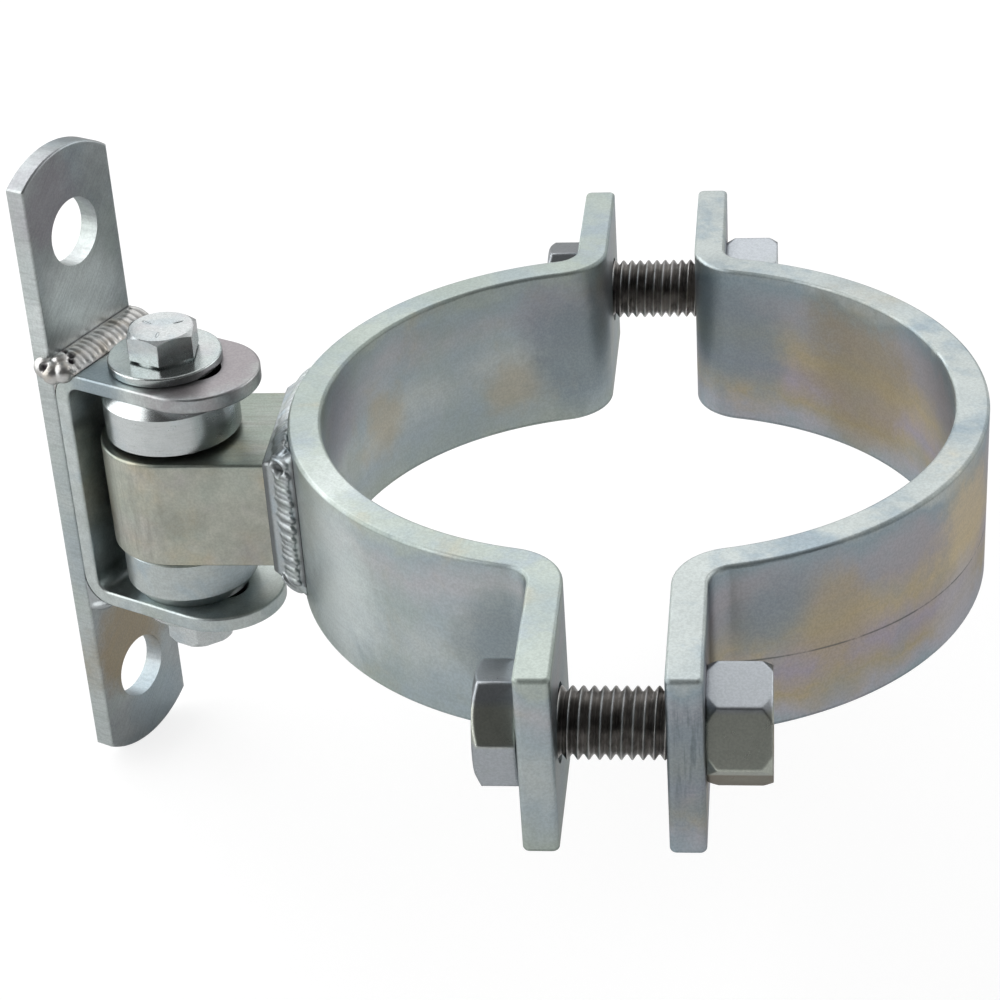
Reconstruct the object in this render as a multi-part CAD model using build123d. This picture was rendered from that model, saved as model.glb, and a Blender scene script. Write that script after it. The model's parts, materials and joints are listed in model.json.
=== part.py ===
"""Bolt-on gate hinge: a slotted bracket on a mounting plate, a bearing knuckle and a two-part post clamp.

Millimetres, +Z up along the pivot. The origin is the middle of the plate's two bolt holes, on its back
face, and +X points out of the plate towards the pivot. The clamp is drawn about the pivot with its link
along +X, then swung to the angle at which it is shown.
"""
import os
from math import asin, degrees, hypot, radians, sqrt, tan

from build123d import *

# Mounting plate
PLATE_T = 5.0
PLATE_W = 31.75
PLATE_LENGTH = 171.0
PLATE_END_R = 25.4
PLATE_HOLE_D = 17.0
PLATE_HOLE_SPACING = 127.0

# Folded bracket
EAR_T = 4.0
FOLD_R = 3.5
EAR_TIP = 24.7
WEB_TO_LINK = 0.6
SLOT_PLAY = 0.8
SLOT_TRAVEL = 9.5
BRACKET_WELD_LEG = 5.0
BRACKET_WELD_CROWN = 0.7

# Pivot fasteners
PIVOT_D = 11.1
PIVOT_AF = 15.9
PIVOT_HEAD_H = 7.1
PIVOT_NUT_H = 9.5
PIVOT_END_PROUD = 1.2
PIVOT_WASHER_D = 28.0
PIVOT_WASHER_T = 2.4
PIVOT_HOLE_PLAY = 0.3

# Collars and the sleeve that carries the bearings
COLLAR_D = 33.4
COLLAR_H = 13.6
COLLAR_CHAMFER_H = 3.6
COLLAR_EDGE = 0.4
COLLAR_TO_FOLD = 1.4
COLLAR_TO_LINK = 1.2
SLEEVE_WALL = 1.8
SEAT_GAP = 0.05

# Sealed ball bearings
BEARING_W = 7.0
RACE_WALL = 2.1
RACE_GAP = 2.3
BALL_D = 3.5
BALL_COUNT = 9
BALL_PLAY = 0.3
POCKET_PLAY = 0.1
CAGE_WALL = 1.5
CAGE_H = 4.6
SEAL_T = 0.6
SEAL_PLAY = 0.3
SEAL_INSET = 0.1

# Link
LINK_H = 28.6
LINK_R = 18.4
LINK_REACH = 29.9
BEARING_RECESS = 1.0
BEARING_SHOULDER = 2.5
LINK_WELD_LEG = 6.0
LINK_WELD_RUN = 4.8
LINK_WELD_TOE = 1.0
LINK_WELD_CORNER_R = 2.0

# Post clamp
POST_D = 139.7
BAND_T = 7.94
BAND_H = 44.45
BEND_R = 6.5
EAR_CORNER_R = 1.6
GAP_CLOSED = 10.6
CLAMP_OPEN = 12.7
BOLT_TO_BEND = 21.0
BOLT_EDGE = 16.4
BOLT_HOLE_D = 17.5

# Clamp bolts and nuts
BOLT_D = 15.88
BOLT_LENGTH = 50.8
BOLT_AF = 23.8
BOLT_HEAD_H = 9.9
BOLT_NUT_H = 13.9
NUT_PLAY = 0.05
NUT_GAP = 0.05
NUT_COUNTERSINK = 0.8

# Edges
SOFT_EDGE = 0.6
BAND_EDGE = 0.9
THREAD_END = 1.2
WASHER_EDGE = 0.5
HEX_EDGE = 0.35
HEX_CROWN = 0.97
HEX_CHAMFER_ANGLE = 30.0
HEX_FACE_H = 0.6
NUT_CROWN = 1.04
NUT_CHAMFER_ANGLE = 60.0

# The angles at which the pieces were photographed
SWING_AT_REST = 26.0
BOLT_HEAD_TURN = -17.0
BOLT_NUT_TURN = 19.0

# Levels and places that follow
EAR_IN = LINK_H / 2 + COLLAR_TO_LINK + COLLAR_H + SEAT_GAP
EAR_OUT = EAR_IN + EAR_T
PIVOT_X = PLATE_T + EAR_T + WEB_TO_LINK + LINK_R
WASHER_Z = EAR_OUT + SEAT_GAP
HEAD_Z = WASHER_Z + PIVOT_WASHER_T
COLLAR_Z = LINK_H / 2 + COLLAR_TO_LINK
BEARING_Z = LINK_H / 2 - BEARING_RECESS - BEARING_W
PIVOT_HOLE_D = PIVOT_D + PIVOT_HOLE_PLAY
COLLAR_TOP_R = LINK_R + WEB_TO_LINK - FOLD_R - COLLAR_TO_FOLD
BEARING_BORE = PIVOT_HOLE_D + 2 * SLEEVE_WALL
BEARING_INNER_SHOULDER_D = BEARING_BORE + 2 * RACE_WALL
BEARING_OUTER_SHOULDER_D = BEARING_INNER_SHOULDER_D + 2 * RACE_GAP
BEARING_OD = BEARING_OUTER_SHOULDER_D + 2 * RACE_WALL
BALL_PITCH_R = (BEARING_INNER_SHOULDER_D + BEARING_OUTER_SHOULDER_D) / 4
GROOVE_R = BALL_D / 2 + BALL_PLAY
BAND_IN_R = POST_D / 2
BAND_OUT_R = BAND_IN_R + BAND_T
BAND_X = LINK_REACH + BAND_OUT_R
FACE_X = -GAP_CLOSED / 2
GAP_MIDDLE_X = BAND_X + CLAMP_OPEN / 2
BEND_X = FACE_X - BAND_T - BEND_R
BEND_Y = sqrt((BAND_OUT_R + BEND_R)**2 - BEND_X**2)
BOLT_Y = BEND_Y + BOLT_TO_BEND
EAR_END_Y = BOLT_Y + BOLT_EDGE
NUT_FACE_X = GAP_MIDDLE_X + CLAMP_OPEN / 2 - FACE_X + BAND_T + NUT_GAP

UP = (Align.CENTER, Align.CENTER, Align.MIN)


def tube(outer_d, inner_d, height):
    """A ring standing on the XY plane."""
    return extrude(Circle(outer_d / 2) - Circle(inner_d / 2), height)


def hex_block(across_flats, height, crown, angle, both_ends):
    """A hexagon with its corners turned off at the top, or at both ends."""
    corner_r = across_flats / sqrt(3)
    crown_r = across_flats / 2 * crown
    drop = (corner_r - crown_r) * tan(radians(angle))
    foot = [(0, 0), (crown_r, 0), (corner_r, drop)] if both_ends else [(0, 0), (corner_r, 0)]
    outline = foot + [(corner_r, height - drop), (crown_r, height), (0, height)]
    turned = revolve(Plane.XZ * make_face(Polyline(*outline, close=True)), Axis.Z)
    prism = extrude(RegularPolygon(across_flats / 2, 6, major_radius=False), height)
    return fillet(prism.edges().filter_by(Axis.Z), HEX_EDGE) & turned


def hex_bolt(diameter, length, across_flats, head_h):
    """A bolt hanging down from the XY plane, with its head standing on a thin round face."""
    shank = Pos(0, 0, -length) * Cylinder(diameter / 2, length, align=UP)
    shank = chamfer(shank.edges().group_by(Axis.Z)[0], THREAD_END)
    face = Cylinder(across_flats / 2 * HEX_CROWN, HEX_FACE_H, align=UP)
    head = hex_block(across_flats, head_h - HEX_FACE_H, HEX_CROWN, HEX_CHAMFER_ANGLE, both_ends=False)
    return Pos(0, 0, HEX_FACE_H) * head + face + shank


def hex_nut(diameter, across_flats, height):
    """A nut standing on the XY plane, running on a bolt of the given diameter."""
    bore_r = diameter / 2 + NUT_PLAY
    mouth_r = bore_r + NUT_COUNTERSINK
    outline = [(0, 0), (mouth_r, 0), (bore_r, NUT_COUNTERSINK),
               (bore_r, height - NUT_COUNTERSINK), (mouth_r, height), (0, height)]
    bore = revolve(Plane.XZ * make_face(Polyline(*outline, close=True)), Axis.Z)
    return hex_block(across_flats, height, NUT_CROWN, NUT_CHAMFER_ANGLE, both_ends=True) - bore


def swung(shape):
    """Places a piece drawn about the pivot at the angle shown."""
    return Pos(PIVOT_X, 0, 0) * Rot(0, 0, SWING_AT_REST) * shape


def at_pivot(shape):
    """Places a piece drawn about the Z axis on the pivot."""
    return Pos(PIVOT_X, 0, 0) * shape


def flipped(shape):
    """The lower twin of an upper piece."""
    return mirror(shape, Plane.XY)


def make_plate():
    """Flat bar with domed ends, and a bolt hole near each."""
    half_w = PLATE_W / 2
    tip = PLATE_LENGTH / 2
    shoulder = tip - PLATE_END_R + sqrt(PLATE_END_R**2 - half_w**2)
    outline = make_face([
        Line((-half_w, -shoulder), (-half_w, shoulder)),
        ThreePointArc((-half_w, shoulder), (0, tip), (half_w, shoulder)),
        Line((half_w, shoulder), (half_w, -shoulder)),
        ThreePointArc((half_w, -shoulder), (0, -tip), (-half_w, -shoulder)),
    ])
    holes = Locations((0, PLATE_HOLE_SPACING / 2), (0, -PLATE_HOLE_SPACING / 2))
    for place in holes:
        outline -= place * Circle(PLATE_HOLE_D / 2)
    plate = extrude(Plane.YZ * outline, PLATE_T)
    rim = plate.faces().sort_by(Axis.X)[-1].outer_wire().edges()
    return fillet(rim, SOFT_EDGE)


def make_bracket():
    """A flat bar folded into a U, its ears rounded and slotted for the pivot bolt."""
    reach = PIVOT_X + EAR_TIP
    block = Pos(PLATE_T, 0, 0) * Box(
        reach - PLATE_T, PLATE_W, 2 * EAR_OUT, align=(Align.MIN, Align.CENTER, Align.CENTER))
    throat = Pos(PLATE_T + EAR_T, 0, 0) * Box(
        reach, PLATE_W, 2 * EAR_IN, align=(Align.MIN, Align.CENTER, Align.CENTER))
    bent = fillet(block.edges().filter_by(Axis.Y).group_by(Axis.X)[0], FOLD_R + EAR_T)
    throat = fillet(throat.edges().filter_by(Axis.Y).group_by(Axis.X)[0], FOLD_R)
    round_x = reach - PLATE_W / 2
    plan = Pos(round_x / 2, 0) * Rectangle(round_x, PLATE_W) + Pos(round_x, 0) * Circle(PLATE_W / 2)
    bracket = (bent - throat) & extrude(plan, EAR_OUT, both=True)
    rims = bracket.edges().filter_by(Axis.Y, reverse=True)
    seams = rims.filter_by(Axis.Z).filter_by(lambda edge: edge.length < FOLD_R + EAR_T)
    bracket = fillet(rims - seams, SOFT_EDGE)
    slot = SlotCenterToCenter(SLOT_TRAVEL, PIVOT_D + SLOT_PLAY)
    return bracket - Pos(PIVOT_X + SLOT_TRAVEL / 2, 0) * extrude(slot, EAR_OUT, both=True)


def make_bracket_weld():
    """The bead that fills the groove between the plate and the upper fold."""
    bend = FOLD_R + EAR_T
    top = (PLATE_T, EAR_OUT + BRACKET_WELD_LEG)
    toe = (PLATE_T + bend, EAR_OUT)
    root = (PLATE_T, EAR_OUT - bend)
    section = make_face([
        SagittaArc(top, toe, BRACKET_WELD_CROWN),
        RadiusArc(toe, root, -bend),
        Line(root, top),
    ])
    return extrude(Plane.XZ * section, PLATE_W / 2, both=True)


def make_pivot_bolt():
    """Long enough to pass the whole stack and stand proud of its nut."""
    stack = 2 * HEAD_Z + PIVOT_NUT_H + PIVOT_END_PROUD
    return at_pivot(Pos(0, 0, HEAD_Z) * hex_bolt(PIVOT_D, stack, PIVOT_AF, PIVOT_HEAD_H))


def make_pivot_washer():
    """Stamped washer, its outer edges rolled over."""
    washer = tube(PIVOT_WASHER_D, PIVOT_HOLE_D, PIVOT_WASHER_T)
    washer = fillet(washer.edges().filter_by(GeomType.CIRCLE).group_by(SortBy.RADIUS)[-1], WASHER_EDGE)
    return at_pivot(Pos(0, 0, WASHER_Z) * washer)


def make_pivot_nut():
    return at_pivot(Pos(0, 0, -HEAD_Z) * flipped(hex_nut(PIVOT_D, PIVOT_AF, PIVOT_NUT_H)))


def make_collar():
    """Turned collar, cut back at the ear so that it clears the inside of the fold."""
    outer_r = COLLAR_D / 2
    section = Polyline(
        (PIVOT_HOLE_D / 2, 0), (outer_r - COLLAR_EDGE, 0), (outer_r, COLLAR_EDGE),
        (outer_r, COLLAR_H - COLLAR_CHAMFER_H),
        (COLLAR_TOP_R, COLLAR_H), (PIVOT_HOLE_D / 2, COLLAR_H), close=True)
    collar = revolve(Plane.XZ * make_face(section), Axis.Z)
    return at_pivot(Pos(0, 0, COLLAR_Z) * collar)


def make_sleeve():
    """Spacer between the collars, on which the inner races sit."""
    sleeve = tube(BEARING_BORE, PIVOT_HOLE_D, 2 * COLLAR_Z)
    return at_pivot(Pos(0, 0, -COLLAR_Z) * sleeve)


def groove():
    """The ring in which the balls run, with the play that they have."""
    return Pos(0, 0, BEARING_W / 2) * Torus(BALL_PITCH_R, GROOVE_R)


def in_bearing_seat(shape):
    """Places a bearing piece in the upper seat of the link."""
    return at_pivot(Pos(0, 0, BEARING_Z) * shape)


def make_inner_race():
    return in_bearing_seat(tube(BEARING_INNER_SHOULDER_D, BEARING_BORE, BEARING_W) - groove())


def make_outer_race():
    return in_bearing_seat(tube(BEARING_OD, BEARING_OUTER_SHOULDER_D, BEARING_W) - groove())


def ball_places():
    return Pos(0, 0, BEARING_W / 2) * PolarLocations(BALL_PITCH_R, BALL_COUNT)


def make_balls():
    balls = [place * Sphere(BALL_D / 2) for place in ball_places()]
    return in_bearing_seat(Compound(balls))


def make_cage():
    """A ring between the races, pocketed for the balls."""
    cage = tube(2 * BALL_PITCH_R + CAGE_WALL, 2 * BALL_PITCH_R - CAGE_WALL, CAGE_H)
    cage = Pos(0, 0, (BEARING_W - CAGE_H) / 2) * cage
    for place in ball_places():
        cage -= place * Rot(0, 90, 0) * Cylinder(BALL_D / 2 + POCKET_PLAY, 2 * CAGE_WALL)
    return in_bearing_seat(cage)


def make_seal(level):
    """A flat ring held in the outer race, just clear of the inner one."""
    seal = tube(BEARING_OUTER_SHOULDER_D, BEARING_INNER_SHOULDER_D + 2 * SEAL_PLAY, SEAL_T)
    return in_bearing_seat(Pos(0, 0, level) * seal)


def make_link():
    """Block with a round end about the pivot, coped to the band and bored for two bearings."""
    plan = Circle(LINK_R) + Pos(BAND_X / 2, 0) * Rectangle(BAND_X, 2 * LINK_R)
    link = extrude(plan, LINK_H / 2, both=True)
    link = fillet(link.edges().filter_by(GeomType.CIRCLE), SOFT_EDGE)
    link -= Pos(BAND_X, 0, 0) * Cylinder(BAND_OUT_R, LINK_H)
    link -= Cylinder(BEARING_OD / 2 - BEARING_SHOULDER, LINK_H)
    pocket = Pos(0, 0, BEARING_Z) * Cylinder(BEARING_OD / 2, LINK_H, align=UP)
    return swung(link - pocket - flipped(pocket))


def make_link_weld():
    """The bead all round the link, widest on the band."""
    half_chord = LINK_R + LINK_WELD_LEG
    deepest_x = BAND_X - sqrt(BAND_OUT_R**2 - half_chord**2)
    toe = Plane((LINK_REACH - LINK_WELD_RUN, 0, 0), x_dir=(0, 1, 0), z_dir=(1, 0, 0))
    foot = Plane((deepest_x, 0, 0), x_dir=(0, 1, 0), z_dir=(1, 0, 0))
    bead = loft([
        toe * RectangleRounded(2 * (LINK_R + LINK_WELD_TOE), LINK_H + 2 * LINK_WELD_TOE, LINK_WELD_TOE),
        foot * RectangleRounded(2 * half_chord, LINK_H + 2 * LINK_WELD_LEG, LINK_WELD_CORNER_R),
    ])
    bead -= Pos(BAND_X, 0, 0) * Cylinder(BAND_OUT_R, BAND_H)
    bead -= Box(2 * BAND_X, 2 * LINK_R, LINK_H)
    return swung(bead)


def clamp_half():
    """Flat bar bent half round, with an ear turned out at each end, about the post's axis."""
    lean = degrees(asin(-BEND_X / hypot(BEND_X, BEND_Y)))
    half = [
        CenterArc((0, 0), BAND_OUT_R, 90 + lean, 90 - lean),
        CenterArc((BEND_X, BEND_Y), BEND_R, 270 + lean, 90 - lean),
        Line((FACE_X - BAND_T, BEND_Y), (FACE_X - BAND_T, EAR_END_Y)),
        Line((FACE_X - BAND_T, EAR_END_Y), (FACE_X, EAR_END_Y)),
        Line((FACE_X, EAR_END_Y), (FACE_X, BEND_Y)),
        CenterArc((BEND_X, BEND_Y), BEND_R + BAND_T, 270 + lean, 90 - lean),
        CenterArc((0, 0), BAND_IN_R, 90 + lean, 90 - lean),
        Line((-BAND_IN_R, 0), (-BAND_OUT_R, 0)),
    ]
    quarter = make_face(half)
    band = extrude(quarter + mirror(quarter, Plane.XZ), BAND_H / 2, both=True)
    corners = band.edges().filter_by(Axis.Z).group_by(Axis.Y)
    band = fillet(corners[0] + corners[-1], EAR_CORNER_R)
    levels = band.faces().group_by(Axis.Z)
    band = fillet(levels[0].edges() + levels[-1].edges(), BAND_EDGE)
    for side in (-1, 1):
        hole = Rot(0, 90, 0) * Cylinder(BOLT_HOLE_D / 2, 2 * BAND_OUT_R)
        band -= Pos(0, side * BOLT_Y, 0) * hole
    return band


def make_fixed_half():
    """The half that is welded to the link."""
    return swung(Pos(BAND_X, 0, 0) * clamp_half())


def make_loose_half():
    """The half that the bolts draw in."""
    return swung(Pos(BAND_X + CLAMP_OPEN, 0, 0) * mirror(clamp_half(), Plane.YZ))


def make_clamp_bolt(side):
    """Head on the link's side, shank through both ears."""
    head_x = BAND_X + FACE_X - BAND_T
    bolt = Rot(0, -90, 0) * hex_bolt(BOLT_D, BOLT_LENGTH, BOLT_AF, BOLT_HEAD_H)
    return swung(Pos(head_x, side * BOLT_Y, 0) * Rot(-BOLT_HEAD_TURN, 0, 0) * bolt)


def make_clamp_nut(side):
    """Nut outside the loose half's ear."""
    nut = Rot(0, 90, 0) * hex_nut(BOLT_D, BOLT_AF, BOLT_NUT_H)
    return swung(Pos(NUT_FACE_X, side * BOLT_Y, 0) * Rot(-BOLT_NUT_TURN, 0, 0) * nut)


def bearing_pieces():
    return {
        "bearing_inner_race": make_inner_race(),
        "bearing_outer_race": make_outer_race(),
        "bearing_balls": make_balls(),
        "bearing_cage": make_cage(),
        "bearing_outer_seal": make_seal(BEARING_W - SEAL_INSET - SEAL_T),
        "bearing_inner_seal": make_seal(SEAL_INSET),
    }


def twins():
    """Pieces that the hinge has twice, above and below its middle."""
    pieces = {
        "bracket_weld": make_bracket_weld(),
        "pivot_washer": make_pivot_washer(),
        "collar": make_collar(),
    }
    pieces.update(bearing_pieces())
    return pieces


def main():
    parts = {
        "mounting_plate": make_plate(),
        "hinge_bracket": make_bracket(),
        "pivot_bolt": make_pivot_bolt(),
        "pivot_nut": make_pivot_nut(),
        "pivot_sleeve": make_sleeve(),
        "link": make_link(),
        "link_weld": make_link_weld(),
        "fixed_clamp_half": make_fixed_half(),
        "loose_clamp_half": make_loose_half(),
        "front_clamp_bolt": make_clamp_bolt(-1),
        "back_clamp_bolt": make_clamp_bolt(1),
        "front_clamp_nut": make_clamp_nut(-1),
        "back_clamp_nut": make_clamp_nut(1),
    }
    for name, piece in twins().items():
        parts["upper_" + name] = piece
        parts["lower_" + name] = flipped(piece)
    os.makedirs("parts", exist_ok=True)
    for name, piece in parts.items():
        export_step(piece, f"parts/{name}.step")


if __name__ == "__main__":
    main()
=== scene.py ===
"""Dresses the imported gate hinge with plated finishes, cut threads, weld beads and a plain studio."""

import json
from dataclasses import dataclass
from math import atan2, cos, pi, radians, sin, sqrt

import bmesh
import bpy
from bpy.props import FloatProperty, FloatVectorProperty, IntProperty, PointerProperty
from mathutils import Matrix, Vector, noise
from mathutils.bvhtree import BVHTree
from mathutils.kdtree import KDTree


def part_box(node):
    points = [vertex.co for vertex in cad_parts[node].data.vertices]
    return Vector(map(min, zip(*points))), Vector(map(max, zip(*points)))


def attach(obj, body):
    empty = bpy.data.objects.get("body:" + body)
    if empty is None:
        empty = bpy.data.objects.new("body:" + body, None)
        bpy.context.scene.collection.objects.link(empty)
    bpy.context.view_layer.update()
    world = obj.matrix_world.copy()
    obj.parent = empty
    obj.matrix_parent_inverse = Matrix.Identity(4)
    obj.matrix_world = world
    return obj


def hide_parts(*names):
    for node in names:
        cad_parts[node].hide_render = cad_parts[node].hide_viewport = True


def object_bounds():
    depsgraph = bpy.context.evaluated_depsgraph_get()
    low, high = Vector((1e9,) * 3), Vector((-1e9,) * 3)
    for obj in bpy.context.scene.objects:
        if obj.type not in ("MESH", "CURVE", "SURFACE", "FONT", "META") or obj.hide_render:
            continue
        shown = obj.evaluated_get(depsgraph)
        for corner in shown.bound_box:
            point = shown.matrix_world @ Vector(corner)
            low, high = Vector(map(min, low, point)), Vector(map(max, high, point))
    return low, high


bl_info = {
    "name": "Gate Hinge Finish",
    "version": (1, 0, 0),
    "blender": (4, 5, 0),
    "location": "3D View > Sidebar > Gate Hinge",
    "description": "Plated finishes, cut threads, weld beads and a studio for the packed gate hinge",
    "category": "Object",
}

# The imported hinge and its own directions
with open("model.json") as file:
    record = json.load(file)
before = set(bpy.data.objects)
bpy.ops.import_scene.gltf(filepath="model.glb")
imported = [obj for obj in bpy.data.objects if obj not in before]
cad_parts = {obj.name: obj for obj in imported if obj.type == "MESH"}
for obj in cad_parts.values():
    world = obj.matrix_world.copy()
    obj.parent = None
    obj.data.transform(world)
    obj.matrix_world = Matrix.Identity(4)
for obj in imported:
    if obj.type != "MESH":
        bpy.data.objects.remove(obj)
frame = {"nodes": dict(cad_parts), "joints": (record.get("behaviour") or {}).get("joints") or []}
CAD_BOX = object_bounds()
NODES = frame["nodes"]
JOINTS = {joint["name"]: joint for joint in frame["joints"]}
UP = Vector((0, 0, 1))
PIVOT = Vector(JOINTS["swing"]["pos_m"])
REACH = -Vector(JOINTS["clamp_close"]["axis"]).normalized()
ACROSS = UP.cross(REACH)
MM = 0.001

# How large the plating's noises are, and how it shows
MOTTLE_SIZE = 3.2 * MM
BROAD_SIZE = 16.0 * MM
FINE_SIZE = 0.55 * MM
DRIFT_SIZE = 26.0 * MM
STREAK_SIZE = 1.6 * MM
STREAK_STRETCH = 0.08
LINE_STRETCH = 14.0
BUMP_DEPTH = 0.3 * MM
BEVEL_SAMPLES = 6
SPECK_SHADE = (0.45, 0.46, 0.46, 1.0)
EDGE_ON = (0.65, 0.65, 0.65, 1.0)  # seen edge-on, plating mirrors less than clean metal

# How finely the redrawn pieces follow their curves
END_STEPS = 8
BEND_STEPS = 16
ROUND_STEPS = 100
EDGE_STEPS = 6
HOLE_SIDES = 96
SPIRAL_STEPS = 56
FLANK_POINTS = 11
JOIN_DISTANCE = 0.002 * MM
SHARP_ANGLE = radians(28.0)

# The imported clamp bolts: how far from the tip only thread is met, how much wider the head is than
# the thread at least, and how far the new shank and the old head run into each other
TIP_LENGTH = 10.0 * MM
HEAD_SHARE = 1.15
STUB = 0.2 * MM
HEAD_SLOT, THREAD_SLOT = 0, 1

# Three raised strokes on the pivot bolt's head
HEAD_MARKS = {"Count": 3, "Radius": 4.5 * MM, "Length": 3.0 * MM, "Width": 0.8 * MM, "Height": 0.4 * MM}
HEAD_MARKS_TURN = radians(56.7)

# Weld metal: lean of the ripples, bare ends of a bracket bead, easing of the fused bead, the unevenness
# of its skin, and how strongly painted shade darkens its toes, past this share of a ripple's breadth, and its
# pits
RIPPLE_TILT = radians(20.0)
BEAD_MARGIN = 1.0 * MM
EASE_FACTOR, EASE_PASSES = 0.5, 2
SKIN_SIZE = 1.1 * MM
SKIN_DEPTHS = ((1.0, 0.05), (2.7, 0.02))
TOE_START, TOE_SHADE = 0.9, 2.5
PIT_SHADE = 1.2

# The blob at the near end of the upper bracket bead, in millimetres from the bead's lower near corner:
# lobes with their share of a ripple's size, and pits with their radius and depth
END_LOBES = (
    ((-1.2, -0.2, 0.7), 1.5),
    ((1.4, -0.5, 0.1), 1.7),
    ((3.9, 0.1, 0.3), 1.4),
    ((2.2, 1.6, 1.7), 1.45),
)
END_PITS = (
    ((0.2, -2.2, 1.8), 1.5, 1.3),
    ((3.2, 4.0, 3.2), 1.6, 1.6),
    ((1.0, 4.6, 3.6), 1.2, 1.2),
    ((4.6, 2.6, 2.2), 1.1, 0.9),
)

# Where the link's bead broke off, in millimetres along and across from the pivot and down from the bead's
# top, and the pits there: how far below, radius and depth
CRATER_PLACE = (36.0, -21.0, 4.5)
CRATER_PITS = ((0.0, 2.5, 2.2), (1.8, 1.6, 1.2))

# Lamps: direction from the hinge to the right of the camera, away from it and up, distance, width,
# height and radiance
LAMPS = {
    "back_lamp": ((-0.1, 0.80, 0.70), 2.0, 2.2, 1.3, 0.86),
    "left_lamp": ((-0.95, 0.20, 0.42), 1.1, 2.2, 1.3, 2.15),
    "right_lamp": ((0.95, 0.30, 0.40), 1.6, 1.2, 1.0, 1.6),
}
FLOOR_REACH = 20.0
SENSOR_WIDTH = 36.0
WHITE = (1, 1, 1, 1)


def from_pivot(along, across, up):
    """A point given in millimetres along the link, across it and up from the pivot's middle."""
    return PIVOT + (REACH * along + ACROSS * across + UP * up) * MM


def bolt_axis(side):
    """A point on the axis of the front or the back clamp bolt."""
    return Vector(JOINTS[f"{side}_nut_turn"]["pos_m"])


def spans_along(node, origin, direction):
    """Each vertex of a node as its distance along an axis and away from it."""
    for vertex in NODES[node].data.vertices:
        offset = vertex.co - origin
        along = offset.dot(direction)
        yield along, (offset - direction * along).length


def steps(start, end, count):
    """Evenly spaced values from start to end, both among them."""
    return [start + (end - start) * step / count for step in range(count + 1)]


# Node trees

class Signal:
    """One output of a node tree, so that arithmetic on it adds the nodes."""

    def __init__(self, graph, socket):
        self.graph = graph
        self.socket = socket

    def sibling(self, name):
        return Signal(self.graph, self.socket.node.outputs[name])

    def math(self, operation, first, second):
        return self.graph.add("ShaderNodeMath", {"operation": operation}, {0: first, 1: second})

    def __add__(self, other):
        return self.math("ADD", self, other)

    def __radd__(self, other):
        return self.math("ADD", other, self)

    def __sub__(self, other):
        return self.math("SUBTRACT", self, other)

    def __rsub__(self, other):
        return self.math("SUBTRACT", other, self)

    def __mul__(self, other):
        return self.math("MULTIPLY", self, other)

    def __rmul__(self, other):
        return self.math("MULTIPLY", other, self)

    def __truediv__(self, other):
        return self.math("DIVIDE", self, other)

    def __rtruediv__(self, other):
        return self.math("DIVIDE", other, self)

    def __abs__(self):
        return self.math("ABSOLUTE", self, 0.0)

    def at_most(self, other):
        return self.math("MINIMUM", self, other)

    def at_least(self, other):
        return self.math("MAXIMUM", self, other)


class Graph:
    """Builds one node tree."""

    def __init__(self, tree):
        self.tree = tree
        tree.nodes.clear()

    def add(self, kind, settings=None, sockets=None, out=0):
        node = self.tree.nodes.new(kind)
        for name, value in (settings or {}).items():
            if name == "stops":
                self.set_stops(node.color_ramp.elements, value)
            else:
                setattr(node, name, value)
        for key, value in (sockets or {}).items():
            if isinstance(value, Signal):
                self.tree.links.new(value.socket, node.inputs[key])
            else:
                node.inputs[key].default_value = value
        return Signal(self, node.outputs[out]) if node.outputs else node

    def set_stops(self, elements, stops):
        while len(elements) < len(stops):
            elements.new(1.0)
        for element, (position, colour) in zip(elements, stops):
            element.position = position
            element.color = colour

    def vector(self, operation, first, second, out=0):
        return self.add("ShaderNodeVectorMath", {"operation": operation}, {0: first, 1: second}, out)

    def dot(self, first, second):
        return self.vector("DOT_PRODUCT", first, second, "Value")

    def distance(self, first, second):
        return self.vector("DISTANCE", first, second, "Value")

    def scaled(self, vector, factor):
        return self.add("ShaderNodeVectorMath", {"operation": "SCALE"}, {0: vector, "Scale": factor})

    def stretched(self, place, direction, factor):
        """Coordinates that run factor times faster along one direction."""
        along = self.dot(place, direction)
        return self.vector("ADD", place, self.scaled(direction, along * (factor - 1.0)))

    def combine(self, x, y, z=0.0):
        return self.add("ShaderNodeCombineXYZ", {}, {0: x, 1: y, 2: z})

    def band(self, value, start, end):
        """0 before start, 1 after end, smooth between."""
        sockets = {"Value": value, "From Min": start, "From Max": end}
        return self.add("ShaderNodeMapRange", {"interpolation_type": "SMOOTHSTEP"}, sockets)

    def mix(self, factor, first, second, blend="MIX"):
        settings = {"data_type": "RGBA", "blend_type": blend}
        return self.add("ShaderNodeMix", settings, {0: factor, 6: first, 7: second}, 2)

    def place(self):
        return self.add("ShaderNodeTexCoord", out="Object")

    def noise(self, place, size, detail=4.0, roughness=0.55, distortion=0.0):
        """Cloudy values from 0 to 1 whose largest features are about size metres across."""
        sockets = {"Vector": place, "Scale": 1.0 / size, "Detail": detail}
        sockets |= {"Roughness": roughness, "Distortion": distortion}
        return self.add("ShaderNodeTexNoise", {}, sockets)

    def attribute(self, name):
        """A number that the mesh carries at its vertices, for a material."""
        return self.add("ShaderNodeAttribute", {"attribute_name": name}, out="Fac")

    def carried(self, name, kind="FLOAT"):
        """What a carrier's points hold under a name, for a geometry tree."""
        return self.add("GeometryNodeInputNamedAttribute", {"data_type": kind}, {"Name": name})

    def copies(self, points, shape, primary, secondary, scale):
        """Copies of a shape on points, turned by two of its axes and where each of them points."""
        turn = self.add(
            "FunctionNodeAxesToRotation",
            {"primary_axis": primary[0], "secondary_axis": secondary[0]},
            {"Primary Axis": primary[1], "Secondary Axis": secondary[1]},
        )
        sockets = {"Points": points, "Instance": shape, "Rotation": turn, "Scale": scale}
        return self.add("GeometryNodeInstanceOnPoints", {}, sockets)


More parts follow.
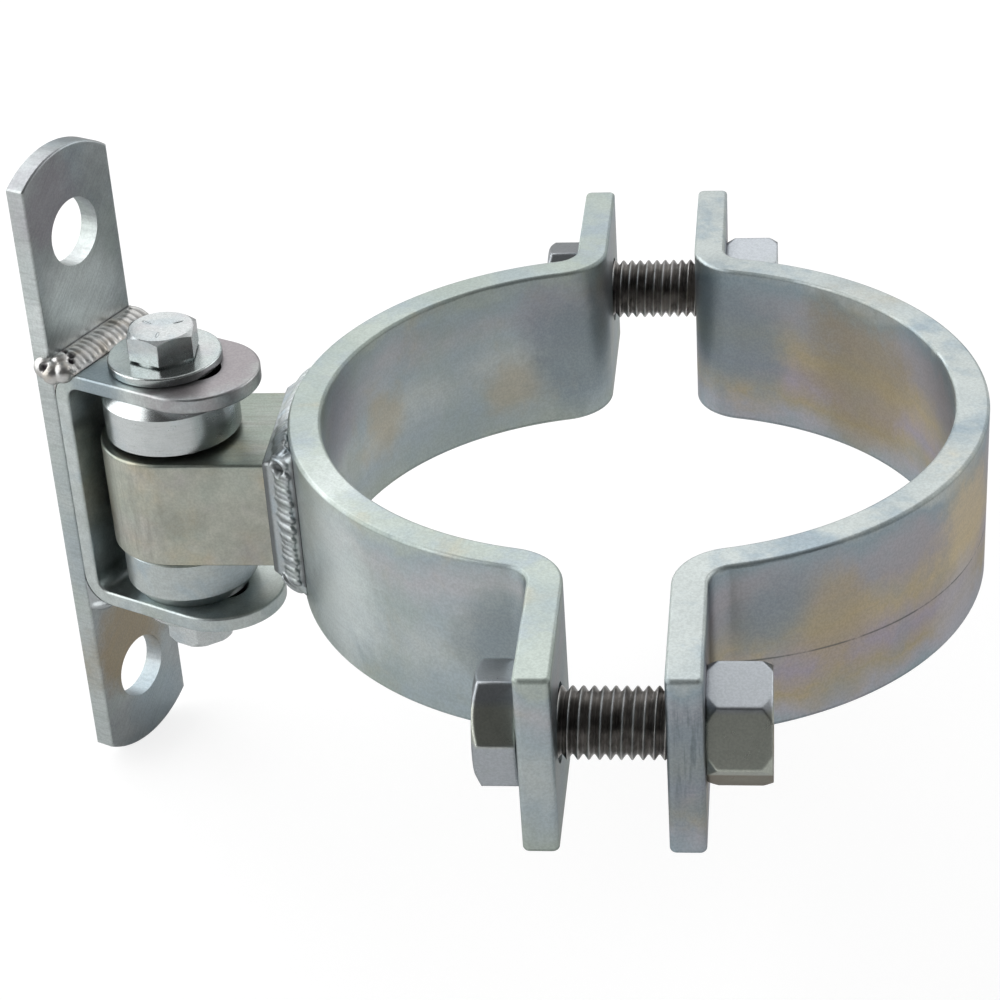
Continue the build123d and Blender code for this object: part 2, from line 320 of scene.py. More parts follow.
def rgb(colour, factor=1.0):
    """A colour property as the four numbers that a socket takes, brightened or darkened."""
    return tuple(min(1.0, part * factor) for part in colour[:3]) + (1.0,)


def grey(level):
    return rgb((level,) * 3)


def clear(colour):
    """A colour stop that lets the metal under a film show."""
    return tuple(colour[:3]) + (0.0,)


def new_finish(name):
    """A new material and the graph that builds it."""
    material = bpy.data.materials.new(name)
    material.use_nodes = True
    return material, Graph(material.node_tree)


# Layers of a plated finish

class Plating:
    """A plated surface while its layers go on: its colour, roughness and height so far."""

    def __init__(self, graph, metal, roughness, mottle_depth, wander):
        self.graph = graph
        self.metal = metal
        self.place = graph.place()
        self.mottle = graph.noise(self.place, MOTTLE_SIZE, 6.0, 0.62)
        self.broad = graph.noise(self.place, BROAD_SIZE, 3.0, 0.5)
        self.fine = graph.noise(self.place, FINE_SIZE, 3.0, 0.6)
        shade = graph.band(self.mottle * 0.65 + self.broad * 0.35, 0.32, 0.68)
        self.colour = graph.mix(shade, rgb(metal, 1.0 - mottle_depth), rgb(metal, 1.0 + mottle_depth))
        self.roughness = roughness + (self.mottle - 0.5) * 0.22 * wander + (self.fine - 0.5) * 0.12 * wander
        self.height = self.mottle * 0.8 + self.fine * 0.2

    def tint(self, cover, colour, blend="MIX"):
        self.colour = self.graph.mix(cover, self.colour, colour, blend)

    def dull(self, amount):
        self.roughness = self.roughness + amount

    def raise_by(self, amount):
        self.height = self.height + amount

    def speckle(self, amount):
        self.tint(self.graph.band(self.fine, 0.38, 0.62) * amount, SPECK_SHADE, "MULTIPLY")


@dataclass
class Film:
    """A passivation film whose colour runs through stops from one level to another, with drifting borders; on
    the clamp's hexagons it is painted reflection and painted shade by facet height.
    """

    direction: Vector
    low: float
    high: float
    stops: list
    amount: float
    drift: float = 0.5

    def lay(self, plating):
        graph = plating.graph
        level = (graph.dot(plating.place, self.direction) - self.low) / (self.high - self.low)
        drifting = graph.noise(plating.place, DRIFT_SIZE, 4.0, 0.55, 0.3)
        level = level + (drifting - 0.5) * self.drift + (plating.mottle - 0.5) * self.drift * 0.25
        tint = graph.add("ShaderNodeValToRGB", {"stops": self.stops}, {"Fac": level})
        plating.tint(tint.sibling("Alpha") * self.amount, tint)


@dataclass
class Cloud:
    """A tint that comes and goes over a whole surface."""

    colour: tuple
    amount: float
    size: float
    shift: float
    start: float = 0.45
    end: float = 0.68

    def lay(self, plating):
        graph = plating.graph
        moved = graph.vector("ADD", plating.place, (self.shift, self.shift * 0.7, -self.shift))
        cover = graph.noise(moved, self.size, 5.0, 0.58, 0.4)
        plating.tint(graph.band(cover, self.start, self.end) * self.amount, self.colour)


@dataclass
class Patch:
    """A tint gathered round one point, in streaks where it has a grain."""

    colour: tuple
    amount: float
    centre: Vector
    radius: float
    grain: Vector = None

    def lay(self, plating):
        graph = plating.graph
        ragged = graph.distance(plating.place, self.centre) / self.radius
        ragged = ragged + (plating.broad - 0.5) * 0.9 + (plating.mottle - 0.5) * 0.5
        cover = (1.0 - graph.band(ragged, 0.35, 1.0)) * self.amount
        if self.grain:
            runs = graph.stretched(plating.place, self.grain, STREAK_STRETCH)
            cover = cover * graph.band(graph.noise(runs, STREAK_SIZE, 3.0, 0.6), 0.45, 0.6)
        plating.tint(cover, self.colour)


@dataclass
class Lines:
    """Fine rolled, ground or turned lines that follow one another along a direction."""

    direction: Vector
    spacing: float
    shade: float
    relief: float

    def lay(self, plating):
        graph = plating.graph
        runs = graph.stretched(plating.place, self.direction, LINE_STRETCH)
        grain = graph.noise(runs, self.spacing * LINE_STRETCH, 3.0, 0.65)
        plating.tint(graph.band(grain, 0.42, 0.66) * self.shade, rgb(plating.metal, 0.55))
        plating.dull((grain - 0.5) * self.shade * 0.5)
        plating.raise_by(grain * self.relief)


@dataclass
class Scribe:
    """A thin line scratched round the outside of a band, where the band is on one side of a plane."""

    point: Vector
    normal: Vector
    axis_point: Vector
    inner_radius: float
    outer_radius: float
    side: Vector
    width: float

    def cover(self, graph, place):
        """1 on the scratched line and 0 away from it."""
        level = abs(graph.dot(graph.vector("SUBTRACT", place, self.point), self.normal))
        worn = graph.noise(place, 9.0 * MM, 4.0, 0.7)
        line = 1.0 - graph.band(level, self.width * 0.3, self.width * (0.6 + worn))
        out = graph.vector("SUBTRACT", place, self.axis_point)
        flat = graph.vector("MULTIPLY", out, (1.0, 1.0, 0.0))
        radius = graph.distance(flat, (0.0, 0.0, 0.0))
        outside = graph.band(radius, self.inner_radius, self.inner_radius + MM)
        on_band = outside - graph.band(radius, self.outer_radius - MM, self.outer_radius)
        ahead = graph.band(graph.dot(out, self.side), 0.0, 6.0 * MM)
        return line * on_band * ahead * graph.band(worn, 0.28, 0.5)

    def lay(self, plating):
        scratch = self.cover(plating.graph, plating.place)
        plating.tint(scratch * 0.75, rgb(plating.metal, 0.22))
        plating.raise_by(scratch * -2.0)


@dataclass
class RolledEdgeShade:
    """The dull edge between a band's wall and its rims, at this height above and below zero: rougher there, and
    darkened a little as a painted shade line.
    """

    height: float
    width: float
    colour: tuple

    def lay(self, plating):
        graph = plating.graph
        level = abs(graph.dot(plating.place, UP))
        start = self.height - self.width
        off_wall = graph.band(level, start - 0.3 * MM, start)
        cover = off_wall - graph.band(level, self.height - 0.15 * MM, self.height)
        cover = cover * graph.band(plating.broad, 0.25, 0.6)
        # Painted shade line along the rolled edge
        plating.tint(cover * 0.15, self.colour)
        plating.dull(cover * 0.3)


@dataclass
class BeadShade:
    """Painted shade where the mesh marks a bead's toes and dents."""

    colour: tuple

    def lay(self, plating):
        graph = plating.graph
        cover = graph.band(graph.attribute("grime") + (plating.mottle - 0.5) * 0.5, 0.1, 0.9)
        plating.tint(cover, self.colour)
        plating.dull(cover * 0.2)


def stops(coat, *rows):
    """Colour stops from rows of a position, a tint and its brightness."""
    return [(position, rgb(getattr(coat, tint), bright)) for position, tint, bright in rows]


def clouds(coat, *rows):
    """Clouds from rows of a tint, its brightness, amount, size in millimetres and shift."""
    return [
        Cloud(rgb(getattr(coat, tint), bright), amount, size * MM, shift)
        for tint, bright, amount, size, shift in rows
    ]


def patches(coat, spot, *rows):
    """Patches from rows of a tint, its brightness, amount, place for spot and radius in millimetres."""
    return [
        Patch(rgb(getattr(coat, tint), bright), amount, spot(*place), radius * MM)
        for tint, bright, amount, place, radius in rows
    ]


def plated(
    name, metal, roughness, tints=(), marks=(), mottle_depth=0.12, relief=0.08, wander=1.0, speck=0.22,
    edge=0.0, metallic=1.0,
):
    """Plated steel: mottled metal with its tints, then fine specks, then lines, scratches and dirt."""
    material, graph = new_finish(name)
    plating = Plating(graph, metal, roughness, mottle_depth, wander)
    for tint in tints:
        tint.lay(plating)
    plating.speckle(speck)
    for mark in marks:
        mark.lay(plating)
    bumps = {"Strength": relief, "Distance": BUMP_DEPTH, "Height": plating.height}
    if edge:
        bumps["Normal"] = graph.add("ShaderNodeBevel", {"samples": BEVEL_SAMPLES}, {"Radius": edge})
    sockets = {"Base Color": plating.colour, "Roughness": plating.roughness, "Metallic": metallic}
    sockets |= {"Specular Tint": EDGE_ON, "Normal": graph.add("ShaderNodeBump", {}, bumps)}
    surface = graph.add("ShaderNodeBsdfPrincipled", {}, sockets)
    graph.add("ShaderNodeOutputMaterial", {}, {"Surface": surface})
    return material


def dress(material, *names):
    """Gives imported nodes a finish."""
    for name in names:
        slots = NODES[name].data.materials
        if len(slots) == 0:
            slots.append(material)
        for index in range(len(slots)):
            slots[index] = material


# Meshes

def merged_copy(node):
    """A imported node's mesh with its loose triangles joined up."""
    mesh = bmesh.new()
    mesh.from_mesh(NODES[node].data)
    bmesh.ops.remove_doubles(mesh, verts=mesh.verts, dist=0.0001 * MM)
    return mesh


def mesh_from(bm, name):
    data = bpy.data.meshes.new(name)
    bm.to_mesh(data)
    bm.free()
    return data


def take_in(bm, data):
    """Adds a scratch mesh to a mesh in the making; the scratch mesh goes."""
    bm.from_mesh(data)
    bpy.data.meshes.remove(data)


def piece_from(data, name):
    piece = bpy.data.objects.new(name, data)
    bpy.context.scene.collection.objects.link(piece)
    return piece


def plain_mesh(carrier, name):
    """The evaluated shape of a scratch object as a mesh of its own; the scratch object goes."""
    scene_graph = bpy.context.evaluated_depsgraph_get()
    data = bpy.data.meshes.new_from_object(carrier.evaluated_get(scene_graph))
    data.name = name
    bpy.data.objects.remove(carrier)
    return data


def smooth_piece(data, name):
    """A piece of a mesh whose broad faces keep their own normals beside rounded edges."""
    data.shade_smooth()
    data.set_sharp_from_angle(angle=SHARP_ANGLE)
    carrier = piece_from(data, name + "_raw")
    carrier.modifiers.new("flats", "WEIGHTED_NORMAL").keep_sharp = True
    return piece_from(plain_mesh(carrier, name), name)


def cut_off(bm, point, outward):
    """Cuts away what lies past a plane and closes the cut."""
    whole = bm.verts[:] + bm.edges[:] + bm.faces[:]
    cut = bmesh.ops.bisect_plane(bm, geom=whole, plane_co=point, plane_no=outward, clear_outer=True)
    rim = [edge for edge in cut["geom_cut"] if isinstance(edge, bmesh.types.BMEdge)]
    bmesh.ops.holes_fill(bm, edges=rim, sides=0)


def in_slot(bm, slot):
    """Gives all faces of a mesh in the making one material slot."""
    for face in bm.faces:
        face.material_index = slot


def stand_in(piece, node, body):
    """Lets a finished piece ride on a body in place of a node."""
    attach(piece, body)
    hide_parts(node)


# Geometry trees

INPUT_KINDS = {"Count": "NodeSocketInt", "Seed": "NodeSocketInt", "Material": "NodeSocketMaterial"}


def geometry_tree(name, *inputs):
    """A geometry tree with named inputs, numbers unless listed above; also its graph and its inputs' node."""
    tree = bpy.data.node_groups.new(name, "GeometryNodeTree")
    tree.interface.new_socket("Geometry", in_out="INPUT", socket_type="NodeSocketGeometry")
    for label in inputs:
        kind = INPUT_KINDS.get(label, "NodeSocketFloat")
        tree.interface.new_socket(label, in_out="INPUT", socket_type=kind)
    tree.interface.new_socket("Geometry", in_out="OUTPUT", socket_type="NodeSocketGeometry")
    graph = Graph(tree)
    return tree, graph, graph.add("NodeGroupInput")


def finish_tree(graph, shape, material):
    """Ends a geometry tree with real geometry that carries its finish."""
    real = graph.add("GeometryNodeRealizeInstances", {}, {0: shape})
    coated = graph.add("GeometryNodeSetMaterial", {}, {"Geometry": real, "Material": material})
    graph.add("NodeGroupOutput", {}, {0: coated})


def grown(tree, carrier_mesh, inputs, name):
    """What a geometry tree makes of a carrier mesh, as a plain mesh."""
    carrier = piece_from(carrier_mesh, name + "_carrier")
    growth = carrier.modifiers.new(name, "NODES")
    growth.node_group = tree
    for item in tree.interface.items_tree:
        if item.in_out == "INPUT" and item.name in inputs:
            growth[item.identifier] = inputs[item.name]
    return plain_mesh(carrier, name)


def thread_tree():
    """A thread of one pitch per turn, swept along a spiral and run out to a bevelled tip."""
    tree, graph, given = geometry_tree(
        "thread", "Pitch", "Crest Radius", "Depth", "Turns", "Tip Height", "Tip Radius", "Material"
    )
    pitch = given.sibling("Pitch")
    depth = given.sibling("Depth")
    root = given.sibling("Crest Radius") - depth
    turns = given.sibling("Turns")
    run = {"Resolution": SPIRAL_STEPS, "Rotations": turns, "Height": turns * pitch}
    run |= {"Start Radius": root, "End Radius": root}
    spiral = graph.add("GeometryNodeCurveSpiral", {}, run)
    upright = graph.add("GeometryNodeSetCurveNormal", {"mode": "Z_UP"}, {"Curve": spiral})
    line = graph.add("GeometryNodeCurvePrimitiveLine", {}, {"Start": (0, 0, 0), "End": (0, 1, 0)})
    flank = graph.add("GeometryNodeResampleCurve", {}, {"Curve": line, "Count": FLANK_POINTS})
    share = graph.add("GeometryNodeSplineParameter")
    rise = ((1.0 - abs(share * 2.0 - 1.0)) * 1.3 - 0.16).at_least(0.0).at_most(1.0)
    spot = graph.combine(rise * depth * -1.0, (share - 0.5) * pitch)
    profile = graph.add("GeometryNodeSetPosition", {}, {"Geometry": flank, "Position": spot})
    swept = graph.add("GeometryNodeCurveToMesh", {}, {"Curve": upright, "Profile Curve": profile})
    joined = graph.add("GeometryNodeMergeByDistance", {}, {"Geometry": swept, "Distance": JOIN_DISTANCE})
    here = graph.add("GeometryNodeInputPosition")
    parts = graph.add("ShaderNodeSeparateXYZ", {}, {0: here})
    flat = graph.combine(parts, parts.sibling("Y"))
    radius = graph.add("ShaderNodeVectorMath", {"operation": "LENGTH"}, {0: flat}, "Value")
    room = given.sibling("Tip Radius") + (given.sibling("Tip Height") - parts.sibling("Z")).at_least(0.0)
    shrink = (room / radius).at_most(1.0)
    drawn = graph.vector("MULTIPLY", here, graph.combine(shrink, shrink, 1.0))
    bevelled = graph.add("GeometryNodeSetPosition", {}, {"Geometry": joined, "Position": drawn})
    finish_tree(graph, bevelled, given.sibling("Material"))
    return tree


def ripple_tree():
    """Overlapping scales of weld metal, one on each point of the carrier."""
    tree, graph, given = geometry_tree(
        "weld_ripples", "Length", "Breadth", "Height", "Spread", "Seed", "Material"
    )
    metal = graph.add("GeometryNodeMeshIcoSphere", {}, {"Radius": 1.0, "Subdivisions": 4})
    spread = given.sibling("Spread")
    span = {2: 1.0 - spread, 3: 1.0 + spread, "Seed": given.sibling("Seed")}
    growth = graph.add("FunctionNodeRandomValue", {"data_type": "FLOAT"}, span, 1)
    size = graph.carried("size")
    lobe = graph.carried("round")
    length = given.sibling("Length")
    breadth = (given.sibling("Breadth") * (1.0 - lobe) + length * lobe) * size * growth
    height = (given.sibling("Height") * (1.0 - lobe) + length * lobe) * size * growth
    scales = graph.copies(
        given,
        metal,
        ("Z", graph.carried("facing", "FLOAT_VECTOR")),
        ("X", graph.carried("along", "FLOAT_VECTOR")),
        graph.combine(length * size, breadth, height),
    )
    finish_tree(graph, scales, given.sibling("Material"))
    return tree


def mark_tree():
    """Short raised dashes set round a centre."""
    tree, graph, given = geometry_tree(
        "head_marks", "Count", "Radius", "Length", "Width", "Height", "Material"
    )
    around = {"Vertices": given.sibling("Count"), "Radius": given.sibling("Radius")}
    ring = graph.add("GeometryNodeMeshCircle", {}, around)
    dash = graph.add("GeometryNodeMeshIcoSphere", {}, {"Radius": 0.5, "Subdivisions": 4})
    outward = graph.add("GeometryNodeInputPosition")
    size = graph.combine(given.sibling("Length"), given.sibling("Width"), given.sibling("Height"))
    marks = graph.copies(ring, dash, ("X", outward), ("Z", (0, 0, 1)), size)
    finish_tree(graph, marks, given.sibling("Material"))
    return tree


# Settings

def colour_setting(name, description, default):
    return FloatVectorProperty(
        name=name, description=description, subtype="COLOR", size=3, min=0.0, max=1.0, default=default
    )


def length_setting(name, description, millimetres):
    return FloatProperty(
        name=name, description=description, unit="LENGTH", min=0.0, precision=5, default=millimetres * MM
    )


def share_setting(name, description, default):
    return FloatProperty(
        name=name, description=description, subtype="FACTOR", min=0.0, max=1.0, default=default
    )


def angle_setting(name, description, degrees):
    return FloatProperty(name=name, description=description, subtype="ANGLE", default=radians(degrees))


class FinishSettings(bpy.types.PropertyGroup):
    """Colours of the plated metal and of the inner parts."""

    zinc: colour_setting("Zinc", "Plated bar", (0.55, 0.595, 0.585))
    bright_zinc: colour_setting("Bright zinc", "Plated fasteners and washers", (0.60, 0.63, 0.63))
    plate_zinc: colour_setting("Plate zinc", "Ground face of the mounting plate", (0.385, 0.41, 0.418))
    warm_zinc: colour_setting("Warm zinc", "Link, passivated to a warm grey", (0.47, 0.48, 0.42))
    blue: colour_setting("Blue tint", "Thin passivation", (0.37, 0.45, 0.50))
    gold: colour_setting("Gold tint", "Thicker passivation", (0.55, 0.46, 0.30))
    violet: colour_setting("Violet tint", "Thickest passivation", (0.42, 0.37, 0.43))
    green: colour_setting("Green tint", "Passivation on sawn ends", (0.40, 0.46, 0.41))
    pink: colour_setting("Pink tint", "Passivation on the bracket's ears", (0.52, 0.48, 0.50))
    brown: colour_setting("Brown stain", "Stain low on the mounting plate", (0.34, 0.27, 0.17))
    thread: colour_setting("Thread", "Oiled dark thread", (0.235, 0.225, 0.215))
    # The crest colour is a painted highlight along the thread's crests
    crest: colour_setting("Thread crest", "Rubbed crests of the thread", (0.56, 0.545, 0.525))
    weld: colour_setting("Weld metal", "Bright weld bead", (0.57, 0.565, 0.55))
    olive: colour_setting("Olive", "Passivation on the clamp's bolts and nuts", (0.44, 0.46, 0.41))
    lilac: colour_setting("Lilac", "Passivation film on the clamp halves", (0.49, 0.48, 0.52))
    ice: colour_setting("Ice", "Pale film on the clamp's bolts and nuts", (0.47, 0.50, 0.545))
    brass: colour_setting("Brass", "Ball cages", (0.58, 0.42, 0.17))
    rubber: colour_setting("Rubber", "Bearing seals", (0.025, 0.025, 0.027))
    satin: share_setting("Satin", "Roughness of the plated bar", 0.38)
    polish: share_setting("Polish", "Roughness of fasteners and collars", 0.26)
    hexagon: share_setting("Hexagon", "Roughness of the clamp's bolt heads and nuts", 0.29)
    seal: share_setting("Seal", "Roughness of the bearing seals", 0.6)
    bright_weld: share_setting("Bright weld", "Roughness of the upper bracket bead", 0.36)
    dull_weld: share_setting("Dull weld", "Roughness of the lower bracket bead", 0.5)
    plated_weld: share_setting("Plated weld", "Roughness of the link's bead", 0.42)
    hexagon_edge: length_setting("Hexagon edge", "Soft look of a hexagon's edges", 0.9)


class BandSettings(bpy.types.PropertyGroup):
    """The clamp halves."""

    inner_radius: length_setting("Inner radius", "Of the half round", 69.85)
    thickness: length_setting("Thickness", "Of the flat bar", 7.94)
    height: length_setting("Height", "Of the flat bar", 44.45)
    bend: length_setting("Bend", "Smaller radius of the bend to an ear", 6.5)
    gap: length_setting("Gap", "Between the ears of the closed clamp", 10.6)
    bolt_to_bend: length_setting("Bolt to bend", "From the bend's centre to the bolt", 21.0)
    bolt_to_end: length_setting("Bolt to end", "From the bolt to the ear's end", 16.4)
    hole: length_setting("Hole", "Diameter of a bolt hole", 17.5)
    corner: length_setting("Corner", "Rounding of an ear's end", 1.6)
    edge: length_setting("Edge", "Rounding of the bar's edges", 0.9)


class ThreadSettings(bpy.types.PropertyGroup):
    """The clamp bolts' thread."""

    pitch: length_setting("Pitch", "Rise in one turn", 2.309)
    depth: length_setting("Depth", "From crest to root", 1.25)
    bevel: length_setting("Bevel", "Bevel at the bolt's tip", 1.2)


class WeldSettings(bpy.types.PropertyGroup):
    """The weld beads."""

    bracket_spacing: length_setting("Bracket spacing", "From one ripple on the bracket to the next", 2.1)
    bracket_length: length_setting("Bracket ripple length", "Half the length of a ripple", 1.9)
    bracket_breadth: length_setting("Bracket ripple breadth", "Half the breadth of a ripple", 3.5)
    bracket_height: length_setting("Bracket ripple height", "Half the height of a ripple", 1.25)
    bracket_spread: share_setting("Bracket ripple spread", "How far a ripple's size strays", 0.12)
    lie: share_setting("Lie", "How high the bracket's bead climbs the plate, as a share of its leg", 0.65)
    link_spacing: length_setting("Link spacing", "From one ripple on the link to the next", 1.5)
    link_length: length_setting("Link ripple length", "Half the length of a ripple", 1.5)
    link_breadth: length_setting("Link ripple breadth", "Half the breadth of a ripple", 3.3)
    link_height: length_setting("Link ripple height", "Half the height of a ripple", 0.9)
    link_spread: share_setting("Link ripple spread", "How far a ripple's size strays", 0.22)
    sink: length_setting("Sink", "How far a ripple's middle lies under the bead's plain surface", 0.3)
    voxel: length_setting("Voxel", "Grain of the fused bead", 0.25)
    seed: IntProperty(name="Seed", description="Which random ripples are drawn", default=7)


class StageSettings(bpy.types.PropertyGroup):
    """Camera, floor and sky."""

    lens: FloatProperty(name="Lens", description="Focal length", unit="CAMERA", default=96.89)
    pitch: angle_setting("Pitch", "How far the camera looks down", 30.7723)
    yaw: angle_setting("Yaw", "Turn of the camera round the clamp", -7.3281)
    roll: angle_setting("Roll", "Tilt of the picture", -3.9348)
    distance: length_setting("Distance", "From the camera to its aim", 666.638)
    aim: FloatVectorProperty(
        name="Aim", description="Aim in millimetres from the pivot", default=(79.5106, 0.0, -6.5393)
    )
    glow: share_setting("Floor glow", "Brightness that the floor always shows", 0.80)
    shade: share_setting("Floor shade", "Share of the floor that takes shadows", 0.26)
    mirror: share_setting("Floor mirrored", "How much of the floor's glow shows in bright metal", 0.15)
    paper: share_setting("Floor paper", "Paleness of the floor", 0.78)
    front_sky: share_setting("Front sky", "Brightness on the camera's side", 0.07)
    back_sky: share_setting("Back sky", "Brightness behind the hinge", 0.72)


class HingeSettings(bpy.types.PropertyGroup):
    """All settings of the finish."""

    finish: PointerProperty(type=FinishSettings)
    band: PointerProperty(type=BandSettings)
    thread: PointerProperty(type=ThreadSettings)
    weld: PointerProperty(type=WeldSettings)
    stage: PointerProperty(type=StageSettings)


def settings():
    return bpy.context.scene.gate_hinge


# Pieces

class FinishPlate(bpy.types.Operator):
    """Finishes the mounting plate and the folded bracket"""

    bl_idname = "gate_hinge.finish_plate"
    bl_label = "Finish Plate and Bracket"

    def execute(self, context):
        coat = settings().finish
        dress(self.plate_finish(coat), "mounting_plate")
        dress(self.bracket_finish(coat), "hinge_bracket")
        return {"FINISHED"}

    def plate_finish(self, coat):
        """A ground face with clouds and stains, between plainer sawn edges."""
        low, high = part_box("mounting_plate")
        sawn = rgb(coat.zinc)
        ground = clear(coat.zinc)
        edges = [(0.0, sawn), (0.012, sawn), (0.02, ground), (0.98, ground), (0.988, sawn)]
        film = Film(Vector((0.0, 1.0, 0.0)), low.y, high.y, edges, 0.85, 0.0)
        haze = clouds(coat, ("blue", 0.9, 0.5, 26, 0.31), ("green", 1.1, 0.35, 18, 0.77))
        stains = patches(
            coat,
            lambda across, up: Vector((high.x, across * MM, up * MM)),
            ("bright_zinc", 1.25, 0.9, (-3, 46), 20),
            ("violet", 0.85, 0.5, (-8, 74), 15),
            ("brown", 1.0, 0.8, (-3, -54), 18),
            ("blue", 1.0, 0.6, (4, -76), 15),
        )
        grinding = Lines(Vector((0.0, 1.0, -1.0)).normalized(), 0.5 * MM, 0.22, 0.3)
        tints = [film, *haze, *stains]
        return plated("plated_plate", coat.plate_zinc, coat.satin, tints, [grinding])

    def bracket_finish(self, coat):
        """Plated bar whose upper ear is stained pink towards its end and blue at the fold."""
        ear_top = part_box("hinge_bracket")[1].z
        haze = clouds(coat, ("green", 1.0, 0.45, 20, 0.12), ("blue", 1.0, 0.4, 13, 0.53))
        stains = patches(
            coat,
            lambda out, across: Vector((out * MM, across * MM, ear_top)),
            ("pink", 0.70, 0.95, (38, 4), 27),
            ("blue", 0.75, 0.8, (19, -13), 12),
        )
        return plated("plated_bracket", coat.zinc, coat.satin, [*haze, *stains])


def clamp_plan(band):
    """A clamp half in plan, as its outside and its inside: matching points with their outward normals."""
    outer_radius = band.inner_radius + band.thickness
    back = -band.gap / 2 - band.thickness
    bend = Vector((back - band.bend, 0.0))
    bend.y = sqrt((outer_radius + band.bend) ** 2 - bend.x ** 2)
    lean = atan2(-bend.x, bend.y)
    end = bend.y + band.bolt_to_bend + band.bolt_to_end - band.corner
    outside, inside = [], []
    corners = ((outside, back + band.corner, -1), (inside, back + band.thickness - band.corner, 1))
    for turn in steps(0.0, pi / 2, END_STEPS):
        for side, x, sign in corners:
            normal = Vector((sign * sin(turn), cos(turn)))
            side.append((Vector((x, end)) + normal * band.corner, normal))
    for turn in steps(0.0, lean - pi / 2, BEND_STEPS):
        away = Vector((cos(turn), sin(turn)))
        outside.append((bend + away * band.bend, -away))
        inside.append((bend + away * (band.bend + band.thickness), away))
    for turn in steps(pi / 2 + lean, pi, ROUND_STEPS)[1:]:
        away = Vector((cos(turn), sin(turn)))
        outside.append((away * outer_radius, away))
        inside.append((away * band.inner_radius, -away))
    flip = Matrix(((1, 0), (0, -1)))
    for side in (outside, inside):
        side += [(flip @ point, flip @ normal) for point, normal in side[-2::-1]]
    return outside, inside


def clamp_body(band, centre, reach):
    """A clamp half about the post's axis, with its upper and lower edges rounded all the way round."""
    outside, inside = clamp_plan(band)
    loop = outside + inside[::-1]
    body = bmesh.new()
    rows = []
    for side in (-1, 1):
        for turn in steps(0.0, pi / 2, EDGE_STEPS)[::side]:
            inset = band.edge * (1.0 - cos(turn))
            level = side * (band.height / 2 - band.edge * (1.0 - sin(turn)))
            spots = [point - normal * inset for point, normal in loop]
            places = [centre + reach * spot.x + ACROSS * spot.y + UP * level for spot in spots]
            rows.append([body.verts.new(place) for place in places])
    for lower, upper in zip(rows, rows[1:]):
        for here in range(-1, len(loop) - 1):
            body.faces.new((lower[here], lower[here + 1], upper[here + 1], upper[here]))
    last = len(loop) - 1
    for row in (rows[0], rows[-1]):
        for here in range(len(outside) - 1):
            body.faces.new((row[here], row[here + 1], row[last - here - 1], row[last - here]))
    bmesh.ops.recalc_face_normals(body, faces=body.faces)
    return mesh_from(body, "clamp_body")


def bolt_drill(band, centre):
    """A cylinder through each pair of ears, as large as a bolt hole."""
    drill = bmesh.new()
    upright = REACH.to_track_quat("Z", "Y").to_matrix().to_4x4()
    for side in ("front", "back"):
        across = (bolt_axis(side) - centre).dot(ACROSS)
        bmesh.ops.create_cone(
            drill,
            cap_ends=True,
            segments=HOLE_SIDES,
            radius1=band.hole / 2,
            radius2=band.hole / 2,
            depth=band.inner_radius,
            matrix=Matrix.Translation(centre + ACROSS * across) @ upright,
        )
    return mesh_from(drill, "bolt_drill")


